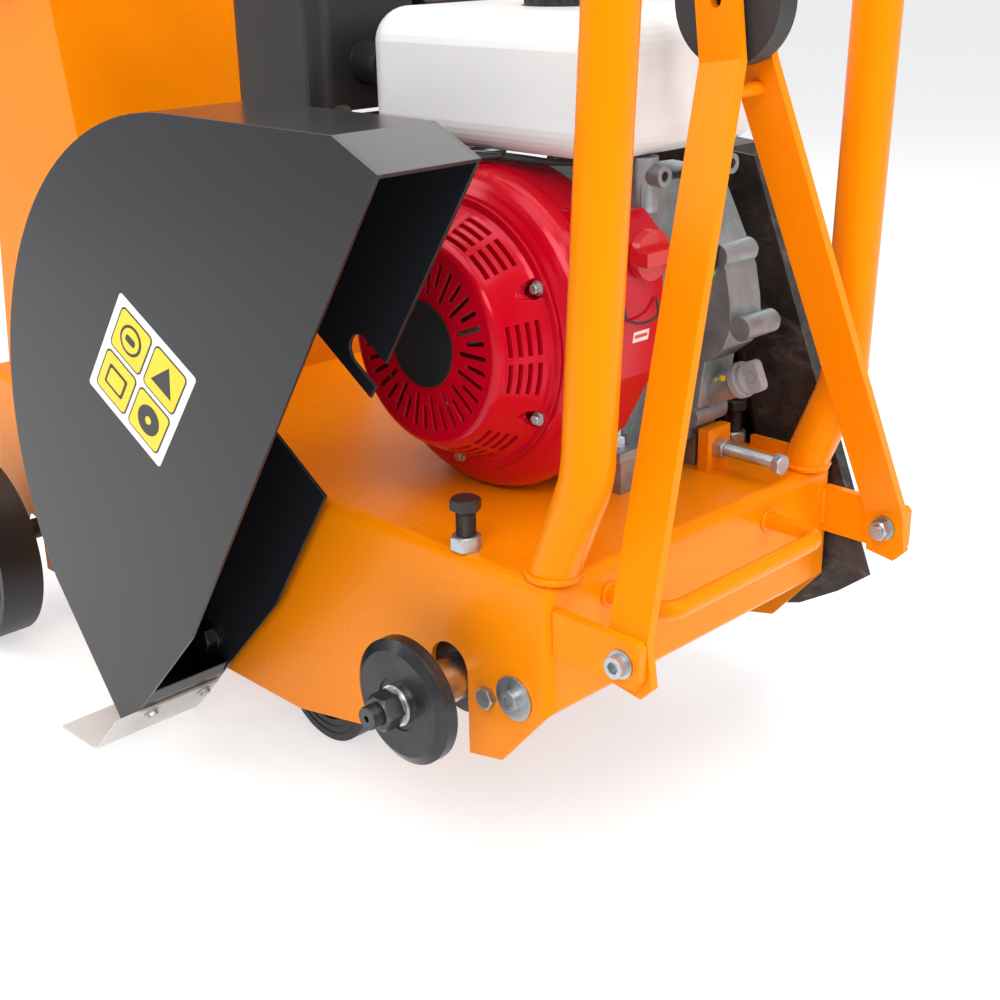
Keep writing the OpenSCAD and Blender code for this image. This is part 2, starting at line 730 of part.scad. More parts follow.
module muffler() placed() color([0.3, 0.3, 0.31])
    difference() {
        union() {
            plate_y(round_rect(-520, 330, -382, 430, 24), 40, 150);
            rod_z(-430, 90, 319, 332, 17);
            rod_x(100, 380, -560, -518, 13);
        }
        rod_x(100, 380, -561, -500, 10);
    }

module throttle_lever() placed() color(black_steel)
    translate([-350, -98, 282]) {
        rod_y(0, 0, -4, 0, 9);
        rod_y(0, 0, -1, 5, 3);
        plate_y([[-4, 0], [4, 0], [7, 50], [-7, 50]], -3.9, -0.1);
        rod_y(0, 50, -6, 2, 9);
    }

// ---------------------------------------------------------------- drive

belt_y = 238;
pulley_w = 46;
drive_r = 58;
driven_r = 52;

module crankshaft() placed() color(bright_steel) {
    rod_y(crank_x, crank_z, fan_y0 - 20, 30, 12.5);
    rod_y(crank_x, crank_z, 29.9, belt_y + pulley_w / 2 + 6, 17.45);
    rod_y(crank_x, crank_z, 10, 40, 56);
    difference() {
        rod_y(crank_x, crank_z, -74, -30, 100);
        for (a = [0:24:336]) rotate_about_crank(a) translate([52, -80, -7]) cube([60, 36, 14]);
    }
}

// A grooved V-belt pulley with a bore
module pulley(x, z, r, bore_r)
    translate([x, belt_y, z]) rotate([-90, 0, 0])
        difference() {
            rotate_extrude() polygon(concat(
                [[0, -pulley_w / 2], [r, -pulley_w / 2]],
                [for (k = [-1, 1]) each [[r, k * 10 - 7], [r - 12, k * 10 - 3.5], [r - 12, k * 10 + 3.5],
                    [r, k * 10 + 7]]],
                [[r, pulley_w / 2], [0, pulley_w / 2]]));
            translate([0, 0, -pulley_w]) cylinder(r = bore_r, h = 2 * pulley_w);
            for (s = [0, 1]) mirror([0, 0, s]) translate([0, 0, 8])
                difference() {
                    cylinder(r = r - 18, h = pulley_w);
                    translate([0, 0, -1]) cylinder(r = bore_r + 10, h = pulley_w + 2);
                }
        }

module drive_pulley() placed() color([0.3, 0.3, 0.32]) pulley(crank_x, crank_z, drive_r, 17.5);

// Common outer tangent of the two pulleys, grown by t
function belt_loop(t) =
    let (dx = arbor_x - crank_x, dz = arbor_z - crank_z, d = norm([dx, dz]), a = atan2(dz, dx),
         b = acos((drive_r - driven_r) / d))
    concat(arc(arbor_x, arbor_z, driven_r + t, a - b, a + b, 24),
        arc(crank_x, crank_z, drive_r + t, a + b, a + 360 - b, 24));

module v_belts() placed() color(tyre_black)
    for (k = [-1, 1])
        difference() {
            plate_y(belt_loop(1), belt_y + k * 10 - 6, belt_y + k * 10 + 6);
            plate_y(belt_loop(-7), belt_y + k * 10 - 7, belt_y + k * 10 + 7);
            for (p = [[crank_x, crank_z, drive_r], [arbor_x, arbor_z, driven_r]])
                translate([p[0], belt_y + k * 10, p[1]]) rotate([-90, 0, 0])
                    rotate_extrude() polygon([[0, -8], [p[2] + 0.3, -8], [p[2] + 0.3, -6.9], [p[2] - 11.6, -3.3],
                        [p[2] - 11.6, 3.3], [p[2] + 0.3, 6.9], [p[2] + 0.3, 8], [0, 8]]);
        }

flange_out_y = -263;
seat_y = -246;
shaft_end_y = -297;
inner_flange_t = 3.9;

module arbor_shaft() placed() color(bright_steel)
    difference() {
        union() {
            rod_y(arbor_x, arbor_z, seat_y + eps, 190, arbor_d / 2);
            rod_y(arbor_x, arbor_z, 189.9, belt_y + pulley_w / 2 + 5, 15);
            rod_y(arbor_x, arbor_z, flange_out_y + 1.45, seat_y + 0.1, 12.7);
            rod_y(arbor_x, arbor_z, shaft_end_y, flange_out_y + 2, 10);
        }
        rod_y(arbor_x, arbor_z, shaft_end_y - 1, shaft_end_y + 6, 3);
        // Relief groove just past the nut
        ring_y(arbor_x, arbor_z, shaft_end_y + 8.4, shaft_end_y + 9.8, 13, 9.2);
    }

module arbor_pulley() placed() color([0.3, 0.3, 0.32]) pulley(arbor_x, arbor_z, driven_r, 15.02);

bearing_y = [-150, 150];

// Plummer blocks bolted up under the deck, bores open for the shaft
module shaft_bearings() placed() color([0.35, 0.36, 0.38])
    for (y = bearing_y)
        difference() {
            union() {
                rod_y(arbor_x, arbor_z, y - 22, y + 22, 48);
                translate([arbor_x - 74, y - 20, -deck_sheet - 26]) cube([148, 40, 26]);
                translate([arbor_x - 40, y - 16, arbor_z]) cube([80, 32, -arbor_z - deck_sheet - 2]);
                ring_y(arbor_x, arbor_z, y < 0 ? y - 38 : y + 18, y < 0 ? y - 20 : y + 38, 36, 20.5);
            }
            rod_y(arbor_x, arbor_z, y - 60, y + 60, arbor_d / 2 + 0.05);
        }

// Inner and outer flange, closed on each other with no blade between
module blade_flanges() placed() color([0.2, 0.2, 0.21])
    translate([arbor_x, 0, arbor_z]) rotate([-90, 0, 0]) {
        difference() {
            translate([0, 0, seat_y - inner_flange_t - 0.1]) cylinder(r = flange_r, h = inner_flange_t);
            translate([0, 0, seat_y - 20]) cylinder(r = 12.75, h = 40);
        }
        difference() {
            union() {
                translate([0, 0, flange_out_y + 6]) cylinder(r = flange_r, h = 6.9);
                translate([0, 0, flange_out_y]) cylinder(r1 = flange_r - 9, r2 = flange_r, h = 6.01);
            }
            translate([0, 0, flange_out_y - 1]) cylinder(r = 12.75, h = 40);
            translate([0, 0, flange_out_y - 1]) cylinder(r = 24, h = 2.5);
        }
    }

module arbor_nut() placed() color(zinc) {
    facing([arbor_x, flange_out_y + 1.4, arbor_z], "-y") washer(37, 20.05, 4);
    facing([arbor_x, flange_out_y - 2.7, arbor_z], "-y") washer(33, 20.05, 3);
    facing([arbor_x, flange_out_y - 5.8, arbor_z], "-y") hex_nut(30, 18, 20.05);
}

// Jack screws over the bearings, with their lock nuts
module jack_screws() placed() color(black_steel)
    for (s = [-1, 1]) translate([jack_x, s * jack_y, 0]) {
        translate([0, 0, 36]) hex_bolt(2 * jack_r, 50, 24, 10);
        hex_nut(24, 13, 16.02);
    }

// Screws of the bearings; the one with the wide washer is on the right only
module side_plate_bolts() placed() color(zinc) {
    for (s = [0, 1]) mirror([0, s, 0])
        facing([bearing_bolt_x[0], -half_w, bearing_bolt_z[0]], "-y") hex_bolt(12, 16, 18, 7);
    facing([bearing_bolt_x[1], -half_w, bearing_bolt_z[1]], "-y") washer(40, 12.4, 2.5);
    facing([bearing_bolt_x[1], -half_w - 2.5, bearing_bolt_z[1]], "-y") socket_screw(12, 20, 6.5);
}

// Upright plate and the long screw that pushes the engine back
tension_y = 112;
tension_z = 22;

module belt_tensioner() placed() {
    color(orange) {
        difference() {
            translate([-84, 96, 0]) cube([12, 34, 42]);
            rod_x(tension_y, tension_z, -90, -60, 6.2);
        }
        translate([-88, 186, 0]) cube([44, 6, 12]);
    }
    color(zinc) {
        facing([-5, tension_y, tension_z], "+x") hex_bolt(12, 86, 18, 8);
        facing([-71.5, tension_y, tension_z], "+x") hex_nut(18, 10, 12.02);
    }
}

// ---------------------------------------------------------------- belt cover

cover_y0 = half_w + 5;
cover_y1 = 300;

function cover_outline() = concat(
    [[-112, 282], [46, -107], [12.7, -134], [-31, -161], [-150, -200], [-240, -160]],
    arc(-300, 190, 107, 190, 90, 8));

// Outline of the housing on it, set back from the sheet's front edge
function housing_outline() = concat(
    [[-174, 280], [-20, -100], [-34, -150], [-64, -168], [-150, -196], [-232, -156]],
    arc(-300, 190, 101, 190, 90, 8));

module cover_opening() {
    rod_y(crank_x, crank_z, cover_y0 - 1, cover_y0 + 4, drive_r + 14);
    rod_y(arbor_x, arbor_z, cover_y0 - 1, cover_y0 + 4, driven_r + 8);
    plate_y([[crank_x - 50, crank_z - 30], [crank_x + 70, crank_z + 20], [arbor_x + 56, arbor_z + 20],
        [arbor_x - 50, arbor_z - 12]], cover_y0 - 1, cover_y0 + 4);
}

function shrunk(points, c, k) = [for (p = points) [c[0] + (p[0] - c[0]) * k, c[1] + (p[1] - c[1]) * k]];

// Back sheet and rim of the belt cover
module belt_cover() placed() color(matt_black)
    difference() {
        union() {
            plate_y(cover_outline(), cover_y0, cover_y0 + 3);
            plate_y(housing_outline(), cover_y0 + 2.9, cover_y1 - 3);
        }
        plate_y(shrunk(housing_outline(), [-150, 50], 0.984), cover_y0 + 3, cover_y1);
        cover_opening();
    }

module belt_cover_lid() placed() color(matt_black) {
    difference() {
        plate_y(housing_outline(), cover_y1 - 2.9, cover_y1);
        for (p = lid_bolts) rod_y(p[0], p[1], cover_y1 - 5, cover_y1 + 1, 4.2);
    }
    for (p = lid_bolts) facing([p[0], cover_y1, p[1]], "+y") {
        cylinder(r = 9, h = 1.5);
        translate([0, 0, 1.4]) hex_prism(13, 5);
        translate([0, 0, -6]) cylinder(r = 4, h = 6 + eps);
    }
}

lid_bolts = [[-186, 256], [-46, -126], [-206, -150], [-372, 190]];

// ---------------------------------------------------------------- blade guard

guard_y1 = -210;
guard_y0 = guard_y1 - guard_w;
rim_c = [-316, 21];
nose = [-55, 333];
crown = [-104, 356];
chord_end = [-356, -125];
tail = [-503, -280];
heel_angle = 208.8;

function guard_outline(t) = concat(
    [nose, crown], arc(rim_c[0], rim_c[1], guard_r - t, 90, heel_angle, 40), [tail, chord_end]);

module guard_outer_plate() placed() color(guard_grey)
    plate_y(guard_outline(0), guard_y0, guard_y0 + guard_sheet);

// Point at distance s along the chord and d into the guard
chord_dir = unit(chord_end - nose);
chord_in = [chord_dir[1], -chord_dir[0]];
function on_chord(s, d) = nose + chord_dir * s + chord_in * d;

notch_s = [253, 383];
notch_depth = 112;
hook_s = [212, 240];
hook_depth = 30;
hook_end = on_chord((hook_s[0] + hook_s[1]) / 2, hook_depth);

module guard_inner_plate() placed() color(guard_grey)
    difference() {
        plate_y(guard_outline(0), guard_y1 - guard_sheet, guard_y1);
        // Room for the blade shaft when the guard is down
        plate_y([on_chord(notch_s[0], -5), on_chord(notch_s[1], -5), on_chord(notch_s[1], notch_depth),
            on_chord(notch_s[0], notch_depth)], guard_y1 - 10, guard_y1 + 5);
        // Latch slot beside it
        plate_y([on_chord(hook_s[0], -5), on_chord(hook_s[1], -5), on_chord(hook_s[1], hook_depth),
            on_chord(hook_s[0], hook_depth)], guard_y1 - 10, guard_y1 + 5);
        rod_y(hook_end[0], hook_end[1], guard_y1 - 10, guard_y1 + 5, (hook_s[1] - hook_s[0]) / 2);
        rod_y(guard_pivot[0], guard_pivot[1], guard_y1 - 10, guard_y1 + 5, guard_pivot_r + 0.05);
    }

tail_dir = unit(chord_end - tail);
tail_in = [-tail_dir[1], tail_dir[0]];
tail_lip = 60;

// The strip bent around the guard's edge, closed over the tail
module guard_rim() placed() color(guard_grey)
    difference() {
        plate_y(concat([nose, crown], arc(rim_c[0], rim_c[1], guard_r, 90, heel_angle, 40),
            [tail, tail + tail_dir * tail_lip]), guard_y0 + guard_sheet + 0.05, guard_y1 - guard_sheet - 0.05);
        plate_y(concat([[nose[0] + 3, nose[1] - 6], nose + [-1, -3.4], [crown[0] - 1, crown[1] - 3]],
            arc(rim_c[0], rim_c[1], guard_r - 3, 90, heel_angle - 0.4, 40),
            [tail + [0.5, 5.3], tail + tail_dir * tail_lip + tail_in * 3,
             tail + tail_dir * (tail_lip + 40) + tail_in * 3, [-300, -200], [0, 300]]), guard_y0 - 1, guard_y1 + 1);
        for (y = flap_bolt_y) tail_screw_axis(y) translate([0, 0, -10]) cylinder(r = 3.2, h = 20);
    }

module guard_pivot_bolt() placed() color(black_steel) {
    facing([guard_pivot[0], guard_y1 - guard_sheet - 2.4, guard_pivot[1]], "-y")
        hex_bolt(2 * guard_pivot_r, 30, 24, 10);
    facing([guard_pivot[0], guard_y1 - guard_sheet - 0.3, guard_pivot[1]], "-y") washer(34, 16.04, 2);
    facing([guard_pivot[0], -half_w - 0.1, guard_pivot[1]], "-y") washer(34, 16.04, 9.4);
    facing([guard_pivot[0], -half_w + deck_sheet + 0.1, guard_pivot[1]], "+y") hex_nut(24, 12, 16.02);
}

flap_bolt_y = [-228, -292];
flap_out = -tail_in;

// Places a shape on the tail's lip, its +Z out of the lip's face
module tail_screw_axis(y)
    translate([(tail + tail_dir * 34)[0], y, (tail + tail_dir * 34)[1]])
        rotate([0, 90 - atan2(flap_out[1], flap_out[0]), 0]) children();

function flap_point(s, d) = tail + tail_dir * s + flap_out * d;

module splash_flap() placed() color([0.9, 0.92, 0.92, 0.5])
    difference() {
        plate_y([flap_point(46, 0.3), flap_point(46, 2.8), flap_point(0, 2.8), [-516, -297], [-528, -302],
            [-592, -303], [-592, -300.5], [-529, -299.5], [-517.5, -294.5], flap_point(-6, 0.3)], -336, -214);
        for (y = flap_bolt_y) tail_screw_axis(y) translate([0, 0, -10]) cylinder(r = 3.2, h = 20);
    }

module flap_bolts() placed() color(zinc)
    for (y = flap_bolt_y) tail_screw_axis(y) {
        translate([0, 0, 2.9]) cylinder(r = 8, h = 1.4);
        translate([0, 0, 4.2]) hex_prism(10, 4);
        translate([0, 0, -8]) cylinder(r = 3, h = 13);
    }

// ---------------------------------------------------------------- wheels

module front_axle() placed() color(zinc) {
    rod_y(wheel_f_x, wheel_f_z, -172, 172, front_axle_r - 0.02);
    for (y = [-158, -102, 95.6, 150.6]) ring_y(wheel_f_x, wheel_f_z, y + 0.6, y + 6.4, 16, front_axle_r);
}

// A wheel with a rubber tyre round a hub; y0 and y1 are its faces
module wheel(x, z, y0, y1, r, hub_r, bore_r)
    difference() {
        rod_y(x, z, y0, y1, r);
        for (y = [y0 - 1, y1 - 5])
            difference() {
                rod_y(x, z, y, y + 6, hub_r);
                rod_y(x, z, y - 1, y + 7, bore_r + 9);
            }
        rod_y(x, z, y0 - 1, y1 + 1, bore_r);
        for (y = [y0, y1], i = [0, 1, 2])
            ring_y(x, z, y - 0.8, y + 0.8, r - 8 - i * 8, r - 11 - i * 8);
    }

module front_wheel_right() placed() color(tyre_black)
    wheel(wheel_f_x, wheel_f_z, -149, -103, front_wheel_r, 44, front_axle_r + 0.05);
module front_wheel_left() placed() color(tyre_black)
    wheel(wheel_f_x, wheel_f_z, 103, 149, front_wheel_r, 44, front_axle_r + 0.05);

lift_arm_y = 150;
push_bar_x = -750;

module lift_arms() placed() color([0.2, 0.2, 0.21]) {
    rod_y(lift_pivot[0], lift_pivot[1], -half_w - 6, half_w + 6, lift_shaft_r);
    for (s = [-1, 1])
        plate_y(concat(arc(lift_pivot[0], lift_pivot[1], 26, -80, 80, 8), arc(wheel_r_x, wheel_r_z, 24, 100, 260, 8)),
            s * lift_arm_y - 6, s * lift_arm_y + 6);
    rod_y(wheel_r_x, wheel_r_z, -306, 306, rear_axle_r);
    rod_y(push_bar_x, lift_pivot[1], -lift_arm_y, lift_arm_y, 12);
}

module rear_wheel_right() placed() color(tyre_black)
    wheel(wheel_r_x, wheel_r_z, -300, -250, rear_wheel_r, 78, rear_axle_r + 0.05);
module rear_wheel_left() placed() color(tyre_black)
    wheel(wheel_r_x, wheel_r_z, 250, 300, rear_wheel_r, 78, rear_axle_r + 0.05);

module wheel_caps() placed() color(zinc)
    for (s = [0, 1]) mirror([0, s, 0]) {
        ring_y(wheel_r_x, wheel_r_z, -306, -300.4, 24, rear_axle_r);
        ring_y(wheel_r_x, wheel_r_z, -249.6, -238, 20, rear_axle_r);
        ring_y(wheel_r_x, wheel_r_z, -237.9, -222, 17, rear_axle_r);
    }

// ---------------------------------------------------------------- depth drive

spindle_r = 9;
crank_arm = 105;
crank_top = tower_h + 62;
nut_z = -100;

module depth_crank() placed() color(zinc) {
    rod_z(spindle_x, 0, -200, tower_h - 44, spindle_r);
    rod_z(spindle_x, 0, tower_h - 50.1, crank_top, 12);
    rod_z(spindle_x, 0, tower_h + 0.4, tower_h + 8, 22);
    translate([spindle_x - crank_arm, -11, crank_top - 8]) cube([crank_arm + 16, 22, 8]);
    rod_z(spindle_x - crank_arm + 12, 0, crank_top - 0.1, crank_top + 92, 5);
    rod_z(spindle_x - crank_arm + 12, 0, crank_top + 86.5, crank_top + 92, 9);
}

module crank_knob() placed() color(matt_black)
    difference() {
        union() {
            rod_z(spindle_x - crank_arm + 12, 0, crank_top + 0.4, crank_top + 86, 14);
            rod_z(spindle_x - crank_arm + 12, 0, crank_top + 0.4, crank_top + 8, 17);
        }
        rod_z(spindle_x - crank_arm + 12, 0, crank_top - 1, crank_top + 90, 5.05);
    }

// The nut that runs on the spindle, with the foot that bears on the lift arms
module depth_nut() placed() color(black_steel)
    difference() {
        union() {
            translate([spindle_x - 26, -28, nut_z]) cube([52, 56, 34]);
            for (s = [-1, 1])
                translate([-800, s * 34 - 6, lift_pivot[1] + 12.5]) cube([112, 12, nut_z - lift_pivot[1] + 21.5]);
            translate([-800, -40, lift_pivot[1] + 12.5]) cube([112, 80, 8]);
        }
        rod_z(spindle_x, 0, lift_pivot[1], nut_z + 60, spindle_r + 0.05);
    }

// ---------------------------------------------------------------- handlebar

handle_pivot = [-800, 470];
handle_bolt_r = 8;
bar_r = 15;
bar_y = 205;
grip_len = 130;
bar_end = -1290;
bar_up = 590;

function bar_path(s) = [[handle_pivot[0] + 26, s * bar_y, handle_pivot[1] - 6],
    [-960, s * bar_y, handle_pivot[1] + 40], [-1080, s * bar_y, bar_up], [bar_end, s * bar_y, bar_up]];

module handlebar() placed() color(orange)
    difference() {
        union() {
            for (s = [-1, 1]) bent_bar(bar_path(s), 60, bar_r);
            rod_y(-1150, bar_up, -bar_y + 8, bar_y - 8, bar_r - 3);
            for (s = [-1, 1])
                rod_y(handle_pivot[0], handle_pivot[1], s * 177 - 20, s * 177 + 20, handle_bolt_r);
        }
        for (s = [-1, 1]) bent_bar(bar_path(s), 60, bar_r - 2.5, 1);
    }

module hand_grips() placed() color(matt_black)
    for (s = [-1, 1])
        difference() {
            union() {
                rod_x(s * bar_y, bar_up, bar_end - 8, bar_end + grip_len, bar_r + 5);
                rod_x(s * bar_y, bar_up, bar_end + grip_len - 8, bar_end + grip_len, bar_r + 9);
            }
            rod_x(s * bar_y, bar_up, bar_end - 0.01, bar_end + grip_len + 1, bar_r);
        }

// ---------------------------------------------------------------- water feed

hose_z = 24;
valve_y = -120;
valve_z = 196;
valve_x = tower_rear_foot + 18;

module water_valve() placed() color([0.75, 0.6, 0.3])
    difference() {
        union() {
            rod_x(valve_y, valve_z, valve_x - 70, valve_x - 24, 8);
            translate([valve_x - 24, valve_y - 14, valve_z - 14]) cube([30, 28, 28]);
            rod_x(valve_y, valve_z, valve_x, valve_x + 60, 8);
        }
        rod_x(valve_y, valve_z, valve_x - 71, valve_x + 61, 5);
        rod_z(valve_x - 9, valve_y, valve_z, valve_z + 20, 4.05);
    }

module valve_lever() placed() color([0.75, 0.05, 0.05]) {
    rod_z(valve_x - 9, valve_y, valve_z + 6, valve_z + 22, 4);
    translate([valve_x - 18, valve_y - 9, valve_z + 18]) cube([18, 58, 5]);
}

module water_hose() placed() color(matt_black)
    bent_bar([[valve_x + 60.1, valve_y, valve_z], [valve_x + 110, valve_y, valve_z], [valve_x + 110, valve_y, hose_z],
        [-560, valve_y, hose_z], [-560, -150, hose_z]], 24, 7);

deck_frame();
tube_frame();
rear_tower();
carry_handle();
pointer_brackets();
pointer_arms();
pointer_bolts();
pointer_wheel();
engine_rails();
engine_foot_bolts();
belt_tensioner();
jack_screws();
side_plate_bolts();
crankcase();
crankcase_cover();
cover_bolts();
cylinder_node();  // cylinder
oil_cap();
fan_housing();
recoil_cover();
recoil_badge();
recoil_bolts();
starter_handle();
engine_switch();
fuel_tank();
fuel_cap();
air_cleaner();
muffler();
throttle_lever();
crankshaft();
drive_pulley();
v_belts();
arbor_shaft();
arbor_pulley();
shaft_bearings();
blade_flanges();
arbor_nut();
belt_cover();
belt_cover_lid();
guard_outer_plate();
guard_inner_plate();
guard_rim();
guard_pivot_bolt();
splash_flap();
flap_bolts();
front_axle();
front_wheel_right();
front_wheel_left();
lift_arms();
rear_wheel_right();
rear_wheel_left();
wheel_caps();
depth_crank();
crank_knob();
depth_nut();
handlebar();
hand_grips();
water_valve();
valve_lever();
water_hose();
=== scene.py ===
"""Looks of the walk-behind concrete saw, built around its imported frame."""
import json
import math

import bmesh
import bpy
from mathutils import Matrix, Vector


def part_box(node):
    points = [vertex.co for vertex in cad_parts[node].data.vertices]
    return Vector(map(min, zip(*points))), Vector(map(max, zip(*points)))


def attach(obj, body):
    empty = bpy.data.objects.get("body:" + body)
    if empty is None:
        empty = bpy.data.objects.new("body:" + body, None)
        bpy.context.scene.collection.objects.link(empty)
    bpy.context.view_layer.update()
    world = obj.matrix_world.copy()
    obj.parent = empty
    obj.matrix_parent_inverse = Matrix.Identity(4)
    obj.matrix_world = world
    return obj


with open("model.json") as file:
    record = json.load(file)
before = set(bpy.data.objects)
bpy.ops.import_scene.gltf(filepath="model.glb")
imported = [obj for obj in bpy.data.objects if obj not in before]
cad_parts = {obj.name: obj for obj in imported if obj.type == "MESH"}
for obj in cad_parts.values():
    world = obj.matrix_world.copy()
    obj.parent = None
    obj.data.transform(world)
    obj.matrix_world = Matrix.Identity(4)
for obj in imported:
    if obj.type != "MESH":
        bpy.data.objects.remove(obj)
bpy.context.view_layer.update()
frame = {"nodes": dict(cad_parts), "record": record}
MM = 0.001
X, Y, Z = Vector((1, 0, 0)), Vector((0, 1, 0)), Vector((0, 0, 1))
SIDES = (("right", -1), ("left", 1))

# Every place below is in millimetres from the front of the deck's top face,
# on the centreline: x forward, y to the machine's left, z up. Radii, depths
# and other lengths that aren't places are in metres.
deck_lo, deck_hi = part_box("deck_frame")
ORIGIN = Vector((deck_hi.x, (deck_lo.y + deck_hi.y) / 2, deck_hi.z))

JACK_X, JACK_Y = -109, 186
TENSION_Y, TENSION_Z = 112, 22
BLADE_X, BLADE_Z = -118, -122.6
FRONT_HUB, FRONT_HUB_RADIUS = (-372, 0, -237), 0.044
REAR_HUB, REAR_HUB_RADIUS = (-875, 0, -193), 0.078


def at(x, y, z):
    return ORIGIN + Vector((x, y, z)) * MM


# ------------------------------------------------------------------ materials


class Nodes:
    """A material's node tree with a Principled shader, wired by short calls."""

    def __init__(self, name):
        self.material = bpy.data.materials.new(name)
        self.material.use_nodes = True
        self.tree = self.material.node_tree
        self.shader = self.tree.nodes["Principled BSDF"]
        self.place = self.add("ShaderNodeTexCoord").outputs["Object"]

    def add(self, kind, **values):
        """A node with its own settings, or the values of its sockets, set by name."""
        node = self.tree.nodes.new(kind)
        for key, value in values.items():
            if hasattr(node, key):
                setattr(node, key, value)
            else:
                node.inputs[key].default_value = value
        return node

    def link(self, source, target):
        self.tree.links.new(source, target)

    def noise(self, scale, detail=3.0, rough=0.5, stretch=None, warp=0.0):
        """Noise over the object; stretch squeezes it along an axis."""
        node = self.add("ShaderNodeTexNoise", Scale=scale, Detail=detail, Roughness=rough, Distortion=warp)
        place = self.place
        if stretch:
            mapping = self.add("ShaderNodeMapping")
            mapping.inputs["Scale"].default_value = stretch
            self.link(place, mapping.inputs["Vector"])
            place = mapping.outputs["Vector"]
        self.link(place, node.inputs["Vector"])
        return node.outputs["Fac"]

    def spread(self, source, low, high, start=0.3, stop=0.7):
        """low where the source is at start, high where it is at stop."""
        node = self.add("ShaderNodeMapRange")
        node.inputs["From Min"].default_value = start
        node.inputs["From Max"].default_value = stop
        node.inputs["To Min"].default_value = low
        node.inputs["To Max"].default_value = high
        self.link(source, node.inputs["Value"])
        return node.outputs["Result"]

    def math(self, operation, a, b=None):
        node = self.add("ShaderNodeMath", operation=operation)
        for socket, value in zip(node.inputs, (a, b)):
            if value is None:
                continue
            if isinstance(value, (int, float)):
                socket.default_value = value
            else:
                self.link(value, socket)
        return node.outputs[0]

    def mix(self, factor, a, b):
        node = self.add("ShaderNodeMix", data_type="RGBA")
        self.link(factor, node.inputs["Factor"])
        colors = [s for s in node.inputs if s.type == "RGBA"]
        for socket, value in zip(colors, (a, b)):
            if isinstance(value, tuple):
                socket.default_value = (*value[:3], 1)
            else:
                self.link(value, socket)
        return [s for s in node.outputs if s.type == "RGBA"][0]

    def base(self, source):
        self.link(source, self.shader.inputs["Base Color"])

    def rough(self, source):
        self.link(source, self.shader.inputs["Roughness"])

    def bump(self, height, strength, distance, edge=0.0):
        """Bump from a height, over edges that are softened by a radius."""
        node = self.add("ShaderNodeBump", Strength=strength, Distance=distance)
        self.link(height, node.inputs["Height"])
        if edge:
            bevel = self.add("ShaderNodeBevel", samples=4)
            bevel.inputs["Radius"].default_value = edge
            self.link(bevel.outputs["Normal"], node.inputs["Normal"])
        self.link(node.outputs["Normal"], self.shader.inputs["Normal"])

    def edges(self, radius):
        """1 along sharp edges, out to a radius, and 0 elsewhere."""
        bevel = self.add("ShaderNodeBevel", samples=4)
        bevel.inputs["Radius"].default_value = radius
        plain = self.add("ShaderNodeNewGeometry")
        dot = self.add("ShaderNodeVectorMath", operation="DOT_PRODUCT")
        self.link(bevel.outputs["Normal"], dot.inputs[0])
        self.link(plain.outputs["Normal"], dot.inputs[1])
        return self.spread(dot.outputs["Value"], 1.0, 0.0, 0.90, 0.995)

    def set(self, **values):
        names = {"metallic": "Metallic", "coat": "Coat Weight", "specular": "Specular IOR Level",
                 "alpha": "Alpha", "roughness": "Roughness", "subsurface": "Subsurface Weight"}
        for key, value in values.items():
            self.shader.inputs[names[key]].default_value = value


EDGE = 0.0009  # how far a pressed or cut edge is rounded
SOFT_EDGE = 0.0016  # the same for a cast or moulded one


def powder_coat(name, color, dark, rough, peel, specular, tint=None, edge=EDGE, edge_highlight=None):
    """Sprayed paint: slow colour drift, orange peel and dust specks, with sharp edges painted lighter as a
    highlight when a highlight colour is given.
    """
    n = Nodes(name)
    drift = n.noise(5.0, 2.0)
    specks = n.spread(n.noise(900.0, 1.0), 0.0, 1.0, 0.70, 0.74)
    tone = n.mix(n.spread(drift, 0.0, 1.0), color, dark)
    tone = n.mix(n.math("MULTIPLY", specks, 0.15), tone, dark)
    # painted highlight: sharp edges are mixed towards a lighter colour
    n.base(n.mix(n.edges(edge * 0.8), tone, edge_highlight) if edge_highlight else tone)
    n.rough(n.spread(n.noise(12.0, 2.0), rough * 0.93, rough * 1.07))
    n.bump(n.noise(330.0, 2.0, 0.4), peel, 0.0006, edge)
    n.set(specular=specular)
    if tint:
        n.shader.inputs["Specular Tint"].default_value = (*tint, 1)
    return n.material


def metal(name, color, dark, rough, grain, scale, stretch=None, metallic=1.0, edge=EDGE):
    """Metal with stains and a fine grain that is cast or machined."""
    n = Nodes(name)
    stains = n.noise(26.0, 5.0, 0.62)
    fine = n.noise(scale, 4.0, 0.6, stretch)
    n.base(n.mix(n.spread(stains, 0.0, 1.0, 0.32, 0.68), color, dark))
    n.rough(n.spread(n.noise(60.0, 5.0, 0.6), rough * 0.75, rough * 1.3))
    n.bump(fine, grain, 0.0004, edge)
    n.set(metallic=metallic)
    return n.material


def moulded(name, color, dark, rough, grain, scale=700.0, coat=0.0, subsurface=0.0, edge=EDGE):
    """Moulded plastic or rubber with a fine skin texture and dust."""
    n = Nodes(name)
    dust = n.noise(11.0, 6.0, 0.6)
    n.base(n.mix(n.spread(dust, 0.0, 1.0, 0.35, 0.75), color, dark))
    n.rough(n.spread(n.noise(45.0, 4.0), rough * 0.85, rough * 1.15))
    n.bump(n.noise(scale, 3.0, 0.6), grain, 0.0004, edge)
    n.set(coat=coat, subsurface=subsurface)
    return n.material


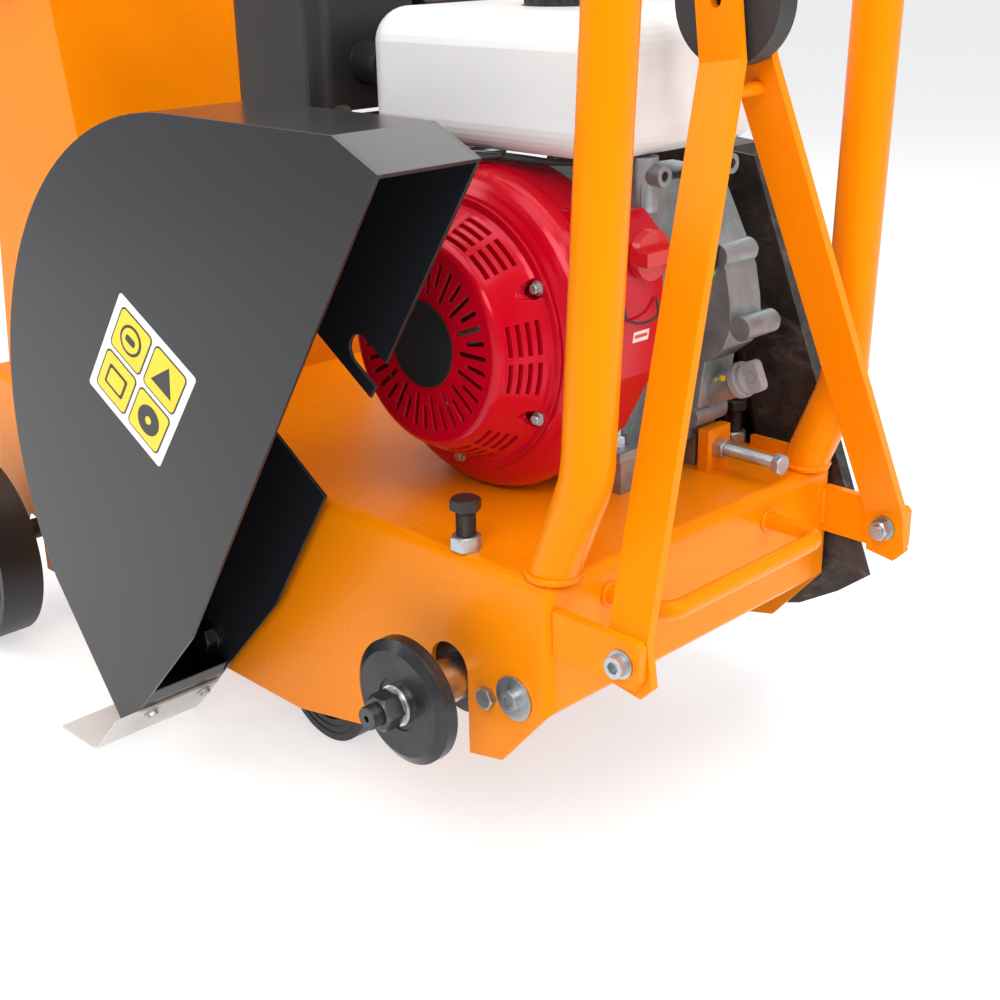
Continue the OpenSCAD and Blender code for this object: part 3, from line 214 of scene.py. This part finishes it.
def wrinkle_coat(name, color, light):
    """Black sheet with a cloudy, crinkled finish and pale streaks."""
    n = Nodes(name)
    cloud = n.noise(22.0, 8.0, 0.68)
    crinkle = n.add("ShaderNodeTexVoronoi", feature="SMOOTH_F1", Scale=170.0)
    n.link(n.place, crinkle.inputs["Vector"])
    streak = n.noise(15.0, 9.0, 0.74, (1.0, 1.0, 1.9), 1.6)
    tone = n.mix(n.spread(cloud, 0.0, 1.0, 0.42, 0.70), color, light)
    n.base(n.mix(n.spread(streak, 0.0, 0.8, 0.53, 0.72), tone, tuple(2.6 * c for c in light)))
    n.rough(n.spread(cloud, 0.34, 0.62))
    height = n.math("ADD", crinkle.outputs["Distance"], n.math("MULTIPLY", cloud, 1.4))
    n.bump(height, 0.5, 0.0014, EDGE)
    return n.material


def clear_sheet(name):
    """Scratched plastic that lets some light through."""
    n = Nodes(name)
    cloud = n.noise(30.0, 4.0)
    n.base(n.mix(n.spread(cloud, 0.0, 1.0), (0.78, 0.755, 0.73), (0.70, 0.68, 0.66)))
    n.rough(n.spread(cloud, 0.34, 0.46))
    n.bump(n.noise(24.0, 2.0), 0.06, 0.0006)
    n.set(alpha=0.66, specular=0.5)
    return n.material


def axis_mask(n, point, axis, radius, inner=0.0):
    """1 nearer than radius to the line through a point along an axis, and not within inner."""
    flat = [0.0 if i == axis else 1.0 for i in range(3)]
    away = n.add("ShaderNodeVectorMath", operation="SUBTRACT")
    n.link(n.place, away.inputs[0])
    away.inputs[1].default_value = point
    across = n.add("ShaderNodeVectorMath", operation="MULTIPLY")
    n.link(away.outputs[0], across.inputs[0])
    across.inputs[1].default_value = flat
    length = n.add("ShaderNodeVectorMath", operation="LENGTH")
    n.link(across.outputs[0], length.inputs[0])
    reach = length.outputs["Value"]
    near = n.math("LESS_THAN", reach, radius)
    return n.math("MULTIPLY", near, n.math("GREATER_THAN", reach, inner)) if inner else near


def component(n, axis):
    """The place along X, Y or Z, in metres."""
    split = n.add("ShaderNodeSeparateXYZ")
    n.link(n.place, split.inputs[0])
    return split.outputs[axis]


def two_finishes(name, mask_of, first, second):
    """One solid colour and finish outside a mask and another within it."""
    n = Nodes(name)
    mask = mask_of(n)
    stains = n.noise(28.0, 5.0, 0.6)
    tones = []
    for look in (first, second):
        tones.append(n.mix(n.spread(stains, 0.0, 1.0), look["color"], look["dark"]))
    n.base(n.mix(mask, tones[0], tones[1]))
    for key, socket in (("rough", "Roughness"), ("metallic", "Metallic")):
        low, high = first[key], second[key]
        if low != high:
            n.link(n.spread(mask, low, high, 0.0, 1.0), n.shader.inputs[socket])
        else:
            n.shader.inputs[socket].default_value = low
    n.bump(n.noise(420.0, 3.0, 0.5), 0.16, 0.0005, EDGE)
    return n.material


ORANGE = (0.92, 0.248, 0.0008)
ORANGE_DARK = (0.89, 0.235, 0.0006)
GREY = (0.016, 0.0168, 0.0205)
GREY_DARK = (0.0145, 0.0153, 0.0188)
RED = (0.50, 0.0008, 0.013)
RED_DARK = (0.46, 0.0007, 0.011)
ZINC = dict(color=(0.54, 0.575, 0.595), dark=(0.37, 0.39, 0.40), rough=0.4, metallic=0.9)
BLACK_OXIDE = dict(color=(0.035, 0.030, 0.027), dark=(0.06, 0.05, 0.042), rough=0.42, metallic=0.6)
PAINTED = dict(color=ORANGE, dark=ORANGE_DARK, rough=0.3, metallic=0.0)
TYRE = dict(color=(0.008, 0.0078, 0.0078), dark=(0.014, 0.0135, 0.0135), rough=0.42, metallic=0.0)
HUB = dict(color=(0.012, 0.012, 0.012), dark=(0.022, 0.022, 0.022), rough=0.36, metallic=0.0)

LOOKS = {
    "orange_paint": powder_coat("powder_orange", ORANGE, ORANGE_DARK, 0.28, 0.05, specular=0.45,
                                tint=(1.0, 0.5, 0.06)),
    # the guard's sharp edges get a painted highlight of a lighter grey
    "guard_grey": powder_coat("powder_grey", GREY, GREY_DARK, 0.2, 0.04, specular=0.34,
                              edge_highlight=(0.11, 0.115, 0.125)),
    "engine_red": powder_coat("enamel_red", RED, RED_DARK, 0.16, 0.02, specular=0.8,
                              tint=(1.0, 0.25, 0.3), edge=SOFT_EDGE),
    "alloy": metal("cast_alloy", (0.43, 0.475, 0.495), (0.25, 0.278, 0.292), 0.4, 0.8, 420.0,
                   metallic=0.75, edge=SOFT_EDGE),
    "zinc": metal("zinc_plate", ZINC["color"], ZINC["dark"], 0.38, 0.12, 300.0),
    "bright_steel": metal("ground_steel", (0.74, 0.74, 0.75), (0.58, 0.57, 0.56), 0.17, 0.22, 500.0,
                          (0.2, 6.0, 0.2)),
    "dark_steel": metal("blackened_steel", (0.055, 0.056, 0.06), (0.035, 0.035, 0.037), 0.3, 0.14, 400.0,
                        metallic=0.75),
    "black_steel": metal("black_oxide", BLACK_OXIDE["color"], BLACK_OXIDE["dark"], 0.4, 0.25, 420.0,
                         metallic=0.6),
    "cast_iron": metal("cast_iron", (0.10, 0.10, 0.105), (0.055, 0.053, 0.052), 0.5, 0.8, 300.0,
                       metallic=0.7),
    "tyre": moulded("solid_tyre", TYRE["color"], TYRE["dark"], 0.5, 0.25),
    "rubber": moulded("soft_rubber", (0.02, 0.02, 0.021), (0.035, 0.035, 0.035), 0.55, 0.3),
    "tank_plastic": moulded("tank_plastic", (0.765, 0.79, 0.795), (0.745, 0.77, 0.775), 0.34, 0.05,
                            coat=0.15, subsurface=0.05, edge=SOFT_EDGE),
    "black_plastic": moulded("black_plastic", (0.012, 0.012, 0.013), (0.022, 0.021, 0.021), 0.36, 0.2),
    "grey_plastic": moulded("grey_plastic", (0.36, 0.36, 0.38), (0.28, 0.28, 0.29), 0.42, 0.2),
    "red_plastic": moulded("red_plastic", (0.58, 0.006, 0.012), (0.46, 0.004, 0.010), 0.28, 0.1, coat=0.4),
    "black_wrinkle": wrinkle_coat("black_wrinkle", (0.017, 0.0145, 0.0145), (0.056, 0.047, 0.045)),
    "clear_flap": clear_sheet("clear_flap"),
    "brass": metal("machined_brass", (0.70, 0.50, 0.22), (0.52, 0.36, 0.15), 0.26, 0.18, 400.0),
}


def tension_mask(n):
    """The puller screw and nut, in front of and behind their plate."""
    x = component(n, 0)
    front = n.math("GREATER_THAN", x, at(-71.8, 0, 0).x)
    back = n.math("LESS_THAN", x, at(-84.2, 0, 0).x)
    near = axis_mask(n, at(0, TENSION_Y, TENSION_Z), 0, 0.0125)
    return n.math("MULTIPLY", near, n.math("MAXIMUM", front, back))


def jack_nut_mask(n):
    """The lock nuts on the deck, and not the screws through them."""
    low = n.math("LESS_THAN", component(n, 2), at(0, 0, 13.4).z)
    right = axis_mask(n, at(JACK_X, -JACK_Y, 0), 2, 0.02, 0.00825)
    left = axis_mask(n, at(JACK_X, JACK_Y, 0), 2, 0.02, 0.00825)
    return n.math("MULTIPLY", low, n.math("MAXIMUM", left, right))


def hub_mask(point, radius):
    return lambda n: axis_mask(n, point, 1, radius)


def nut_mask(n):
    """The blade nut, outside its two washers."""
    return n.math("LESS_THAN", component(n, 1), at(0, -268.75, 0).y)


def stub_mask(n):
    """The part of the blade shaft that stands out of its flanges."""
    return n.math("LESS_THAN", component(n, 1), at(0, -262, 0).y)


DARK_NUT = dict(color=(0.10, 0.10, 0.105), dark=(0.06, 0.06, 0.062), rough=0.36, metallic=0.9)
BRIGHT = dict(color=(0.62, 0.62, 0.63), dark=(0.50, 0.50, 0.50), rough=0.3, metallic=1.0)
SPECIAL = {
    "belt_tensioner": two_finishes("tension_plate", tension_mask, PAINTED, ZINC),
    "jack_screws": two_finishes("jack_screw", jack_nut_mask, BLACK_OXIDE, ZINC),
    "arbor_nut": two_finishes("blade_nut", nut_mask, BRIGHT, DARK_NUT),
    "arbor_shaft": two_finishes("blade_shaft", stub_mask, BRIGHT, DARK_NUT),
    "guard_pivot_bolt": metal("dark_bolt", (0.22, 0.22, 0.225), (0.12, 0.12, 0.12), 0.36, 0.15, 300.0),
}
for wheel, hub, radius in (("front", FRONT_HUB, FRONT_HUB_RADIUS), ("rear", REAR_HUB, REAR_HUB_RADIUS)):
    look = two_finishes(wheel + "_tyre", hub_mask(at(*hub), radius), TYRE, HUB)
    for side, _ in SIDES:
        SPECIAL["%s_wheel_%s" % (wheel, side)] = look

for part in frame["record"]["subparts"]:
    node = frame["nodes"][part["node"]]
    look = SPECIAL.get(part["node"], LOOKS[part["material_slot"]])
    if not node.data.materials:
        node.data.materials.append(look)
    for i in range(len(node.data.materials)):
        node.data.materials[i] = look

# ------------------------------------------------------------------ shapes


def new_piece(name, bm, look, body):
    """Makes a smooth-shaded piece of a bmesh that is in metres."""
    mesh = bpy.data.meshes.new(name)
    bmesh.ops.recalc_face_normals(bm, faces=bm.faces)
    bm.to_mesh(mesh)
    bm.free()
    for polygon in mesh.polygons:
        polygon.use_smooth = True
    mesh.set_sharp_from_angle(angle=math.radians(38))
    piece = bpy.data.objects.new(name, mesh)
    bpy.context.scene.collection.objects.link(piece)
    mesh.materials.append(LOOKS[look] if isinstance(look, str) else look)
    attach(piece, body)
    return piece


def tube(bm, points, radius_at, sides=10, closed=False):
    """Skin of a tube along points; radius_at gives its radius at each."""
    count = len(points)
    rings = []
    side = None
    for i, p in enumerate(points):
        before = points[i - 1] if (i or closed) else points[i]
        after = points[(i + 1) % count] if (i + 1 < count or closed) else points[i]
        ahead = (after - before).normalized()
        if side is None:
            side = ahead.orthogonal().normalized()
        side = (side - ahead * side.dot(ahead)).normalized()
        other = ahead.cross(side)
        r = radius_at(i) if callable(radius_at) else radius_at
        rings.append([bm.verts.new(p + (side * math.cos(t) + other * math.sin(t)) * r)
                      for t in (2 * math.pi * k / sides for k in range(sides))])
    pairs = [(i, i + 1) for i in range(count - 1)] + ([(count - 1, 0)] if closed else [])
    for i, j in pairs:
        shift = 0
        if closed and j == 0:
            shift = min(range(sides), key=lambda s: (rings[0][s].co - rings[-1][0].co).length)
        for k in range(sides):
            a, b = rings[i][k], rings[i][(k + 1) % sides]
            c, d = rings[j][(k + 1 + shift) % sides], rings[j][(k + shift) % sides]
            bm.faces.new((a, b, c, d))
    if not closed:
        bm.faces.new(list(reversed(rings[0])))
        bm.faces.new(rings[-1])


def smooth_path(points, steps=8):
    """Catmull-Rom points through the given ones."""
    p = [points[0] * 2 - points[1], *points, points[-1] * 2 - points[-2]]
    out = []
    for i in range(1, len(p) - 2):
        for k in range(steps):
            t = k / steps
            out.append(0.5 * ((2 * p[i]) + (p[i + 1] - p[i - 1]) * t
                              + (2 * p[i - 1] - 5 * p[i] + 4 * p[i + 1] - p[i + 2]) * t * t
                              + (3 * p[i] - p[i - 1] - 3 * p[i + 1] + p[i + 2]) * t ** 3))
    out.append(p[-2])
    return out


def slab(bm, outline, normal, depth):
    """A thin plate of an outline, raised along normal by depth."""
    low = [bm.verts.new(p) for p in outline]
    high = [bm.verts.new(p + normal * depth) for p in outline]
    bm.faces.new(list(reversed(low)))
    bm.faces.new(high)
    for i in range(len(low)):
        j = (i + 1) % len(low)
        bm.faces.new((low[i], low[j], high[j], high[i]))


def lathe(bm, centre, axis, profile, sides=32):
    """A turned shape: profile holds (distance along axis, radius) in metres."""
    axis = axis.normalized()
    u = axis.orthogonal().normalized()
    v = axis.cross(u)
    rings = []
    for along, radius in profile:
        c = centre + axis * along
        if radius < 1e-7:
            rings.append([bm.verts.new(c)])
        else:
            rings.append([bm.verts.new(c + (u * math.cos(t) + v * math.sin(t)) * radius)
                          for t in (2 * math.pi * k / sides for k in range(sides))])
    for a, b in zip(rings, rings[1:]):
        for k in range(sides):
            q = [a[k % len(a)], a[(k + 1) % len(a)], b[(k + 1) % len(b)], b[k % len(b)]]
            face = list(dict.fromkeys(q))
            if len(face) > 2:
                bm.faces.new(face)


# ------------------------------------------------------------------ welds

BEAD = 0.0032
FINE_BEAD = 0.0026
WAVE_RINGS = 5


def weld_bead(name, points, size=BEAD, closed=False, wave=0.005):
    """A painted weld's bead, with the ripples that each pool of metal leaves."""
    dense = []
    loop = points + ([points[0]] if closed else [])
    step = wave / WAVE_RINGS
    for a, b in zip(loop, loop[1:]):
        n = max(1, round((b - a).length / step))
        dense += [a.lerp(b, k / n) for k in range(n)]
    if not closed:
        dense.append(points[-1])
    bm = bmesh.new()
    tube(bm, dense, lambda i: size * (0.86 + 0.14 * abs(math.sin(math.pi * i / WAVE_RINGS))), 8, closed)
    return new_piece(name, bm, "orange_paint", "frame")


def circle(centre, u, v, radius, count=48):
    """Points round a circle in the plane of u and v, its radius in millimetres."""
    return [centre + (u * math.cos(t) + v * math.sin(t)) * radius * MM
            for t in (2 * math.pi * k / count for k in range(count))]


for side, sign in SIDES:
    weld_bead("tube_weld_" + side, circle(at(-16.4, sign * 177, 3.6), X, Y, 22.4), FINE_BEAD, True, 0.006)
    weld_bead("bracket_weld_" + side, [at(0.6, sign * 186.4, -22), at(0.6, sign * 186.4, -58)])
for side, y in (("right", -127), ("left", 95)):
    weld_bead("handle_weld_" + side, circle(at(1.0, y, -28), Y, Z, 8.6, 32), FINE_BEAD, True)

# ------------------------------------------------------------------ threads, lines and small fittings


def thread(name, start, axis, length, root, crest, pitch, body, look):
    """A screw thread's ridges around a shank."""
    profile = [(0.0, root - 0.0003)]
    for k in range(int(length / pitch)):
        profile += [(pitch * k, root), (pitch * (k + 0.5), crest)]
    profile += [(length, root), (length, root - 0.0003)]
    bm = bmesh.new()
    lathe(bm, start, axis, profile, 24)
    return new_piece(name, bm, look, body)


for side, sign in SIDES:
    thread("jack_thread_" + side, at(JACK_X, sign * JACK_Y, 13.2), Z, 0.0226, 0.00802, 0.0088, 0.002,
           "frame", "black_steel")
thread("tension_thread", at(-61.4, TENSION_Y, TENSION_Z), X, 0.0560, 0.00602, 0.0066, 0.00175,
       "frame", "zinc")
thread("blade_thread", at(BLADE_X, -288.4, BLADE_Z), -Y, 0.0080, 0.01002, 0.0106, 0.002,
       "arbor", "dark_steel")


def fixed_line(name, points, radius, look):
    """A short line or rod that is held at both ends."""
    bm = bmesh.new()
    tube(bm, smooth_path([at(*p) for p in points]), radius, 10)
    return new_piece(name, bm, look, "frame")


fixed_line("fuel_line", [(-292, -72, 281), (-264, -68, 294.5), (-238, -65, 301.4), (-206, -62, 304.2),
                         (-174, -56, 304), (-142, -46, 303), (-116, -30, 303)], 0.003, "rubber")
fixed_line("throttle_cable", [(-300, -80, 268), (-270, -78, 285), (-240, -74, 298.4), (-210, -72, 302.4),
                              (-184, -60, 306)], 0.0022, "rubber")
fixed_line("governor_rod", [(-250, -52, 304), (-205, -50, 305.5), (-160, -34, 302), (-112, -22, 296)], 0.0013,
           "zinc")
fixed_line("switch_wire", [(-45.5, -60, 196), (-39, -64, 187.5), (-37, -53, 181.6), (-36, -40, 180.8),
                           (-37, -26, 184.5), (-42.2, -22, 197)], 0.0012, "rubber")

neck_top = at(-52, 112, 92)
neck_ahead = Vector((40, 0, 17.6)).normalized()
bm = bmesh.new()
lathe(bm, neck_top, neck_ahead,
      [(-0.0010, 0.0149), (-0.0010, 0.0162), (0.00035, 0.0162), (0.00035, 0.0149)])
new_piece("cap_seal", bm, "rubber", "frame")

# ------------------------------------------------------------------ paint marks and plain stickers


def flat_look(name, color, rough=0.35):
    """Printed film or thick paint of one colour, a little uneven."""
    n = Nodes(name)
    drift = n.noise(40.0, 3.0)
    n.base(n.mix(n.spread(drift, 0.0, 1.0), color, tuple(0.93 * c for c in color)))
    n.rough(n.spread(drift, rough * 0.85, rough * 1.15))
    n.bump(n.noise(160.0, 2.0), 0.05, 0.0003)
    return n.material


def dab(name, centre, radius, squash, look):
    """A blob of marking paint on the engine."""
    bm = bmesh.new()
    bmesh.ops.create_icosphere(bm, subdivisions=3, radius=1.0)
    for v in bm.verts:
        ripple = 1 + 0.16 * math.sin(5 * v.co.x + 3 * v.co.z) * math.cos(4 * v.co.z)
        v.co = centre + Vector([v.co[i] * squash[i] * radius * ripple for i in range(3)])
    return new_piece(name, bm, look, "frame")


WHITE = flat_look("sticker_white", (0.86, 0.86, 0.86))
YELLOW = flat_look("sticker_yellow", (0.90, 0.66, 0.01))
INK = flat_look("sticker_ink", (0.012, 0.012, 0.012))
GREEN = flat_look("marking_green", (0.10, 0.62, 0.04), 0.4)
PALE = flat_look("sticker_pale", (0.80, 0.72, 0.66))
RED_INK = flat_look("sticker_red", (0.62, 0.03, 0.03))
dab("neck_mark_a", neck_top - neck_ahead * 0.0075 + Vector((-0.0005, -0.0132, 0.0064)), 0.0042,
    (1.0, 0.35, 0.8), YELLOW)
dab("neck_mark_b", neck_top - neck_ahead * 0.0165 + Vector((-0.0005, -0.0130, 0.0070)), 0.0024,
    (1.0, 0.4, 0.9), YELLOW)
dab("case_mark", at(-65, 83.8, 197), 0.0044, (1.0, 0.3, 0.9), GREEN)
bm = bmesh.new()
slab(bm, [at(-68, 84, 202), at(-60, 84, 202), at(-57, 84, 222), at(-64, 84, 222)], -Y, 0.004)
new_piece("case_clip", bm, "black_plastic", "frame")


def box_face(y, z, lift):
    """A point just off the sloping front of the switch box."""
    return at(-44 - (180 - z) * 0.16 + lift, y, z)


for name, y0, y1, z0, z1, lift, depth, look in (
        ("box_sticker", -47, -27, 161.5, 171, 0.05, 0.0003, PALE),
        ("box_sticker_band", -45, -29, 165, 168, 0.4, 0.0002, RED_INK)):
    bm = bmesh.new()
    slab(bm, [box_face(y0, z0, lift), box_face(y1, z0, lift), box_face(y1, z1, lift), box_face(y0, z1, lift)],
         X, depth)
    new_piece(name, bm, look, "frame")

STICKER_FACE = -310.0
STICKER_TOP_LEFT = at(-414, STICKER_FACE, 196)
STICKER_ACROSS = at(-305, STICKER_FACE, 137) - STICKER_TOP_LEFT
STICKER_DOWN = at(-489, STICKER_FACE, 98) - STICKER_TOP_LEFT
LAYER = 0.00022  # thickness of each printed layer


def panel_point(u, v, lift):
    """A point on the guard's sticker: u across it and v down it, from 0 to 1."""
    return STICKER_TOP_LEFT + STICKER_ACROSS * u + STICKER_DOWN * v - Y * lift


def panel_shape(bm, points, layer):
    """A printed shape on the guard's sticker, on top of the layers below it."""
    slab(bm, [panel_point(u, v, layer * LAYER) for u, v in points], -Y, LAYER)


def rectangle(u0, v0, u1, v1, r=0.02):
    """Outline of a rectangle with rounded corners."""
    out = []
    for cu, cv, a0 in ((u1 - r, v1 - r, 0), (u0 + r, v1 - r, 90), (u0 + r, v0 + r, 180),
                       (u1 - r, v0 + r, 270)):
        for k in range(5):
            t = math.radians(a0 + 22.5 * k)
            out.append((cu + r * math.cos(t), cv + r * math.sin(t)))
    return out


def disc(cu, cv, r, count=28):
    """Outline of a disc."""
    return [(cu + r * math.cos(2 * math.pi * k / count), cv + r * math.sin(2 * math.pi * k / count))
            for k in range(count)]


bm = bmesh.new()
panel_shape(bm, rectangle(0, 0, 1, 1, 0.03), 0)
new_piece("sticker_sheet", bm, WHITE, "guard")
inked, filled, symbols = bmesh.new(), bmesh.new(), bmesh.new()
for row in (0, 1):
    for column in (0, 1):
        u, v = 0.07 + 0.45 * column, 0.07 + 0.45 * row
        panel_shape(inked, rectangle(u, v, u + 0.41, v + 0.41, 0.05), 1)
        panel_shape(filled, rectangle(u + 0.014, v + 0.014, u + 0.396, v + 0.396, 0.04), 2)
        cu, cv = u + 0.205, v + 0.205
        shape = 2 * row + column
        if shape == 0:
            panel_shape(symbols, disc(cu, cv, 0.13), 3)
            panel_shape(filled, disc(cu, cv, 0.105), 4)
            panel_shape(symbols, rectangle(cu - 0.06, cv - 0.03, cu + 0.06, cv + 0.03, 0.02), 5)
        elif shape == 1:
            panel_shape(symbols, [(cu - 0.13, cv + 0.1), (cu, cv - 0.13), (cu + 0.13, cv + 0.1)], 3)
        elif shape == 2:
            panel_shape(symbols, rectangle(cu - 0.12, cv - 0.1, cu + 0.12, cv + 0.1), 3)
            panel_shape(filled, rectangle(cu - 0.095, cv - 0.075, cu + 0.095, cv + 0.075), 4)
        else:
            panel_shape(symbols, disc(cu, cv, 0.13), 3)
            panel_shape(filled, disc(cu, cv, 0.035), 4)
new_piece("sticker_frames", inked, INK, "guard")
new_piece("sticker_squares", filled, YELLOW, "guard")
new_piece("sticker_shapes", symbols, INK, "guard")

# ------------------------------------------------------------------ stage and camera

CAMERA_AZIMUTH, CAMERA_ELEVATION, CAMERA_ROLL = 45.57, 21.36, -1.09
CAMERA_PLACE = at(734.7, -972.4, 494.1)
LENS = 53.28
FLOOR_GLOW = 0.62
WORLD_LIGHT = 0.42
az, el, roll = (math.radians(v) for v in (CAMERA_AZIMUTH, CAMERA_ELEVATION, CAMERA_ROLL))
back = Vector((math.sin(az) * math.cos(el), -math.cos(az) * math.cos(el), math.sin(el)))
level = Vector((math.cos(az), math.sin(az), 0))
upright = back.cross(level)
right = level * math.cos(roll) + upright * math.sin(roll)
up = upright * math.cos(roll) - level * math.sin(roll)
camera_data = bpy.data.cameras.new("camera")
camera_data.lens = LENS
camera_data.sensor_width = 36.0
camera_data.clip_start, camera_data.clip_end = 0.02, 200.0
camera = bpy.data.objects.new("camera", camera_data)
turn = Matrix((right, up, back)).transposed().to_4x4()
camera.matrix_world = Matrix.Translation(CAMERA_PLACE) @ turn
bpy.context.scene.collection.objects.link(camera)
bpy.context.scene.camera = camera

floor_look = Nodes("floor")
floor_look.base(floor_look.mix(floor_look.noise(2.0), (0.50, 0.50, 0.50), (0.49, 0.49, 0.49)))
floor_look.set(roughness=0.7, specular=0.2)
floor_look.shader.inputs["Emission Color"].default_value = (1, 1, 1, 1)
floor_look.shader.inputs["Emission Strength"].default_value = FLOOR_GLOW
bm = bmesh.new()
bmesh.ops.create_grid(bm, x_segments=8, y_segments=8, size=60)
floor_mesh = bpy.data.meshes.new("floor")
bm.to_mesh(floor_mesh)
bm.free()
floor_mesh.materials.append(floor_look.material)
floor = bpy.data.objects.new("floor", floor_mesh)
bpy.context.scene.collection.objects.link(floor)


def soft_box(name, offset, size, watts):
    """A rectangular light that faces the middle of the machine."""
    light = bpy.data.lights.new(name, "AREA")
    light.shape = "RECTANGLE"
    light.size, light.size_y = size
    light.energy = watts
    lamp = bpy.data.objects.new(name, light)
    offset = Vector(offset)
    lamp.location = at(-250, 0, 0) + offset
    lamp.rotation_mode = "QUATERNION"
    lamp.rotation_quaternion = (-offset).to_track_quat("-Z", "Y")
    bpy.context.scene.collection.objects.link(lamp)


soft_box("top_light", (0.2, -0.2, 3.0), (3.4, 3.4), 100)
soft_box("key_light", (1.3, -2.0, 1.9), (1.5, 1.2), 40)
soft_box("side_light", (2.6, 0.4, 1.3), (0.9, 1.8), 26)
soft_box("back_light", (-1.6, 2.0, 2.4), (2.0, 1.4), 26)
soft_box("left_light", (-2.2, -1.8, 1.6), (1.2, 1.6), 20)

world = bpy.data.worlds.new("studio")
bpy.context.scene.world = world
world.use_nodes = True
world.node_tree.nodes["Background"].inputs["Color"].default_value = (1, 1, 1, 1)
world.node_tree.nodes["Background"].inputs["Strength"].default_value = WORLD_LIGHT
bpy.context.scene.view_settings.view_transform = "Standard"
